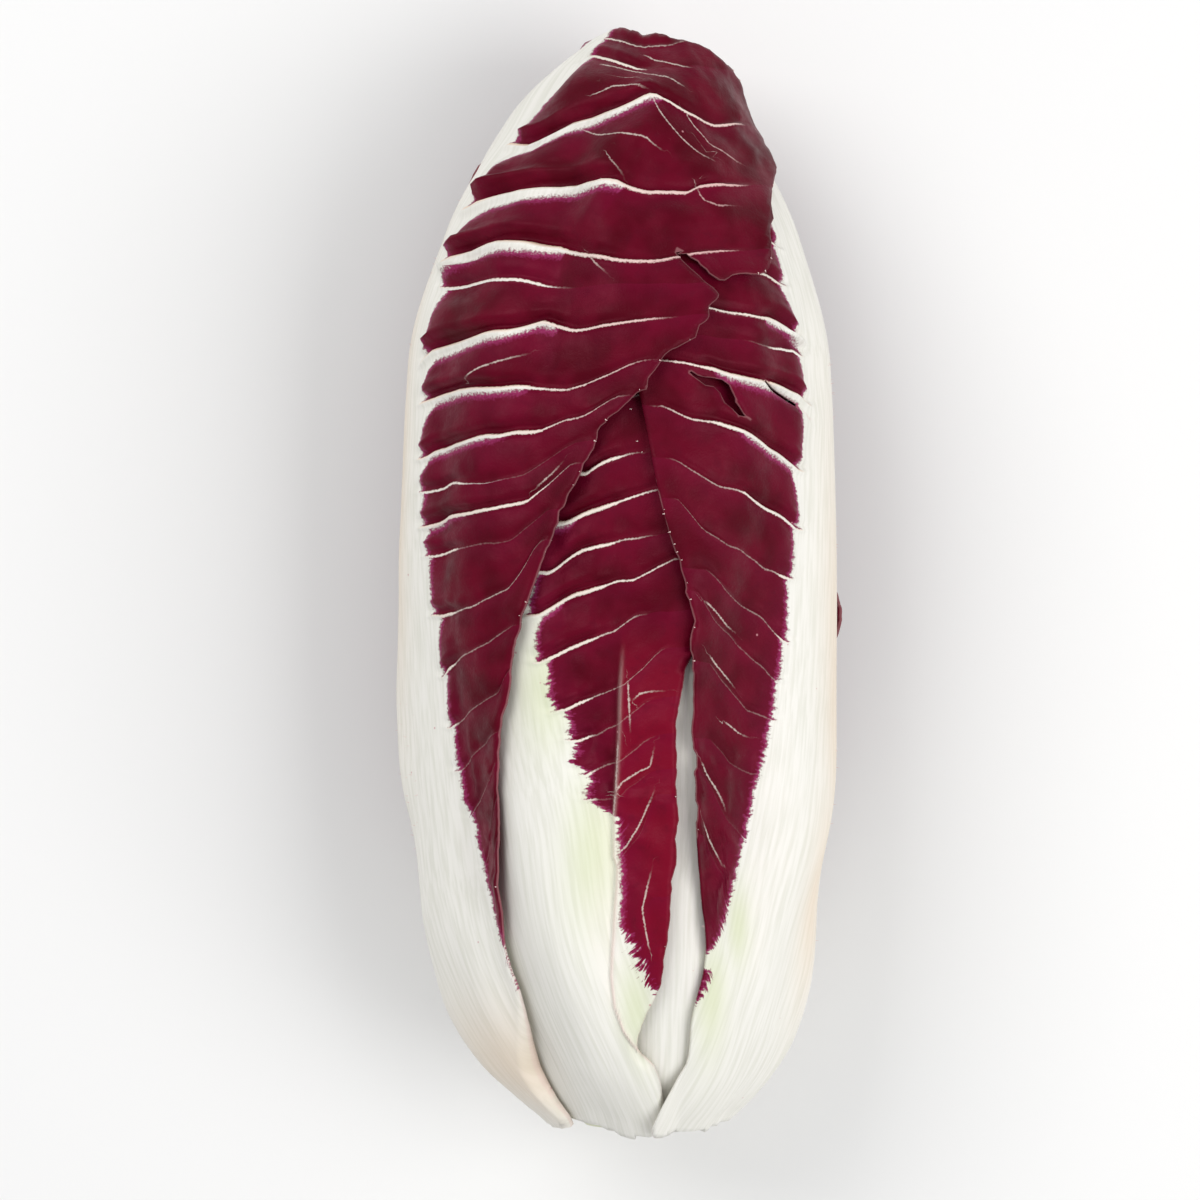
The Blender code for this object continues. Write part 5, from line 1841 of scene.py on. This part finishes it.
grow(
    "rib_bristles",
    np.concatenate(roots),
    np.concatenate(leanings),
    BRISTLE_SHARE,
    BRISTLE_LENGTH,
    BRISTLE_WIDTH,
    BRISTLE_PICK,
)

# The floor. A plain matt board, off-white, for the head to lie on, wide enough to fill the picture from
# any side. It is there for the picture alone and isn't a piece of the head.
FLOOR_SIZE = 3.0
mesh = bpy.data.meshes.new("pale_floor")
corner = FLOOR_SIZE / 2
mesh.from_pydata(
    [(-corner, -corner, 0), (corner, -corner, 0), (corner, corner, 0), (-corner, corner, 0)],
    [],
    [(0, 1, 2, 3)],
)
floor_material, tree, shader = new_material("matt white board")
shader.inputs["Base Color"].default_value = linear("#EDECEA")
shader.inputs["Roughness"].default_value = 0.8
mesh.materials.append(floor_material)
floor = bpy.data.objects.new("pale_floor", mesh)
bpy.context.scene.collection.objects.link(floor)

# The light. A studio with pale walls all round gives most of it. A large window past the tip's left
# rakes over the veins and creases, and a weaker one at the right fills their shadows.
WALL_LIGHT = 0.57
world = bpy.data.worlds.new("soft studio")
world.use_nodes = True
world.node_tree.nodes["Background"].inputs[0].default_value = linear("#F4F6FA")
world.node_tree.nodes["Background"].inputs[1].default_value = WALL_LIGHT
bpy.context.scene.world = world
bpy.context.scene.view_settings.view_transform = "Standard"
for name, spot, turn, size, power in (
    ("large window at the tip's left", (-0.62, 0.58, 1.02), (-0.45, -0.55, 0.0), 0.8, 7.5),
    ("fill from the right", (0.78, -0.20, 0.95), (0.20, 0.68, 0.0), 0.8, 8.0),
):
    lamp = bpy.data.lights.new(name, "AREA")
    lamp.size = size
    lamp.energy = power
    light = bpy.data.objects.new(name, lamp)
    light.location = spot
    light.rotation_euler = turn
    bpy.context.scene.collection.objects.link(light)

# The camera. It looks straight down on the head from a metre away, through a long lens, with the
# stem at the bottom of the picture and the tip at the top.
CAMERA_HEIGHT = 1.0
CAMERA_ASIDE = (-0.0042, -0.0040)  # metres from over the middle of the head's footprint
FRAME_WIDTH = 0.2363  # metres across the picture at the head's outline
OUTLINE_HEIGHT = 0.038
lens = bpy.data.cameras.new("camera")
lens.sensor_width = 36.0
lens.lens = lens.sensor_width * (CAMERA_HEIGHT - OUTLINE_HEIGHT) / FRAME_WIDTH
lens.clip_start = 0.01
camera = bpy.data.objects.new("camera", lens)
camera.location = (*CAMERA_ASIDE, CAMERA_HEIGHT)
bpy.context.scene.collection.objects.link(camera)
bpy.context.scene.camera = camera
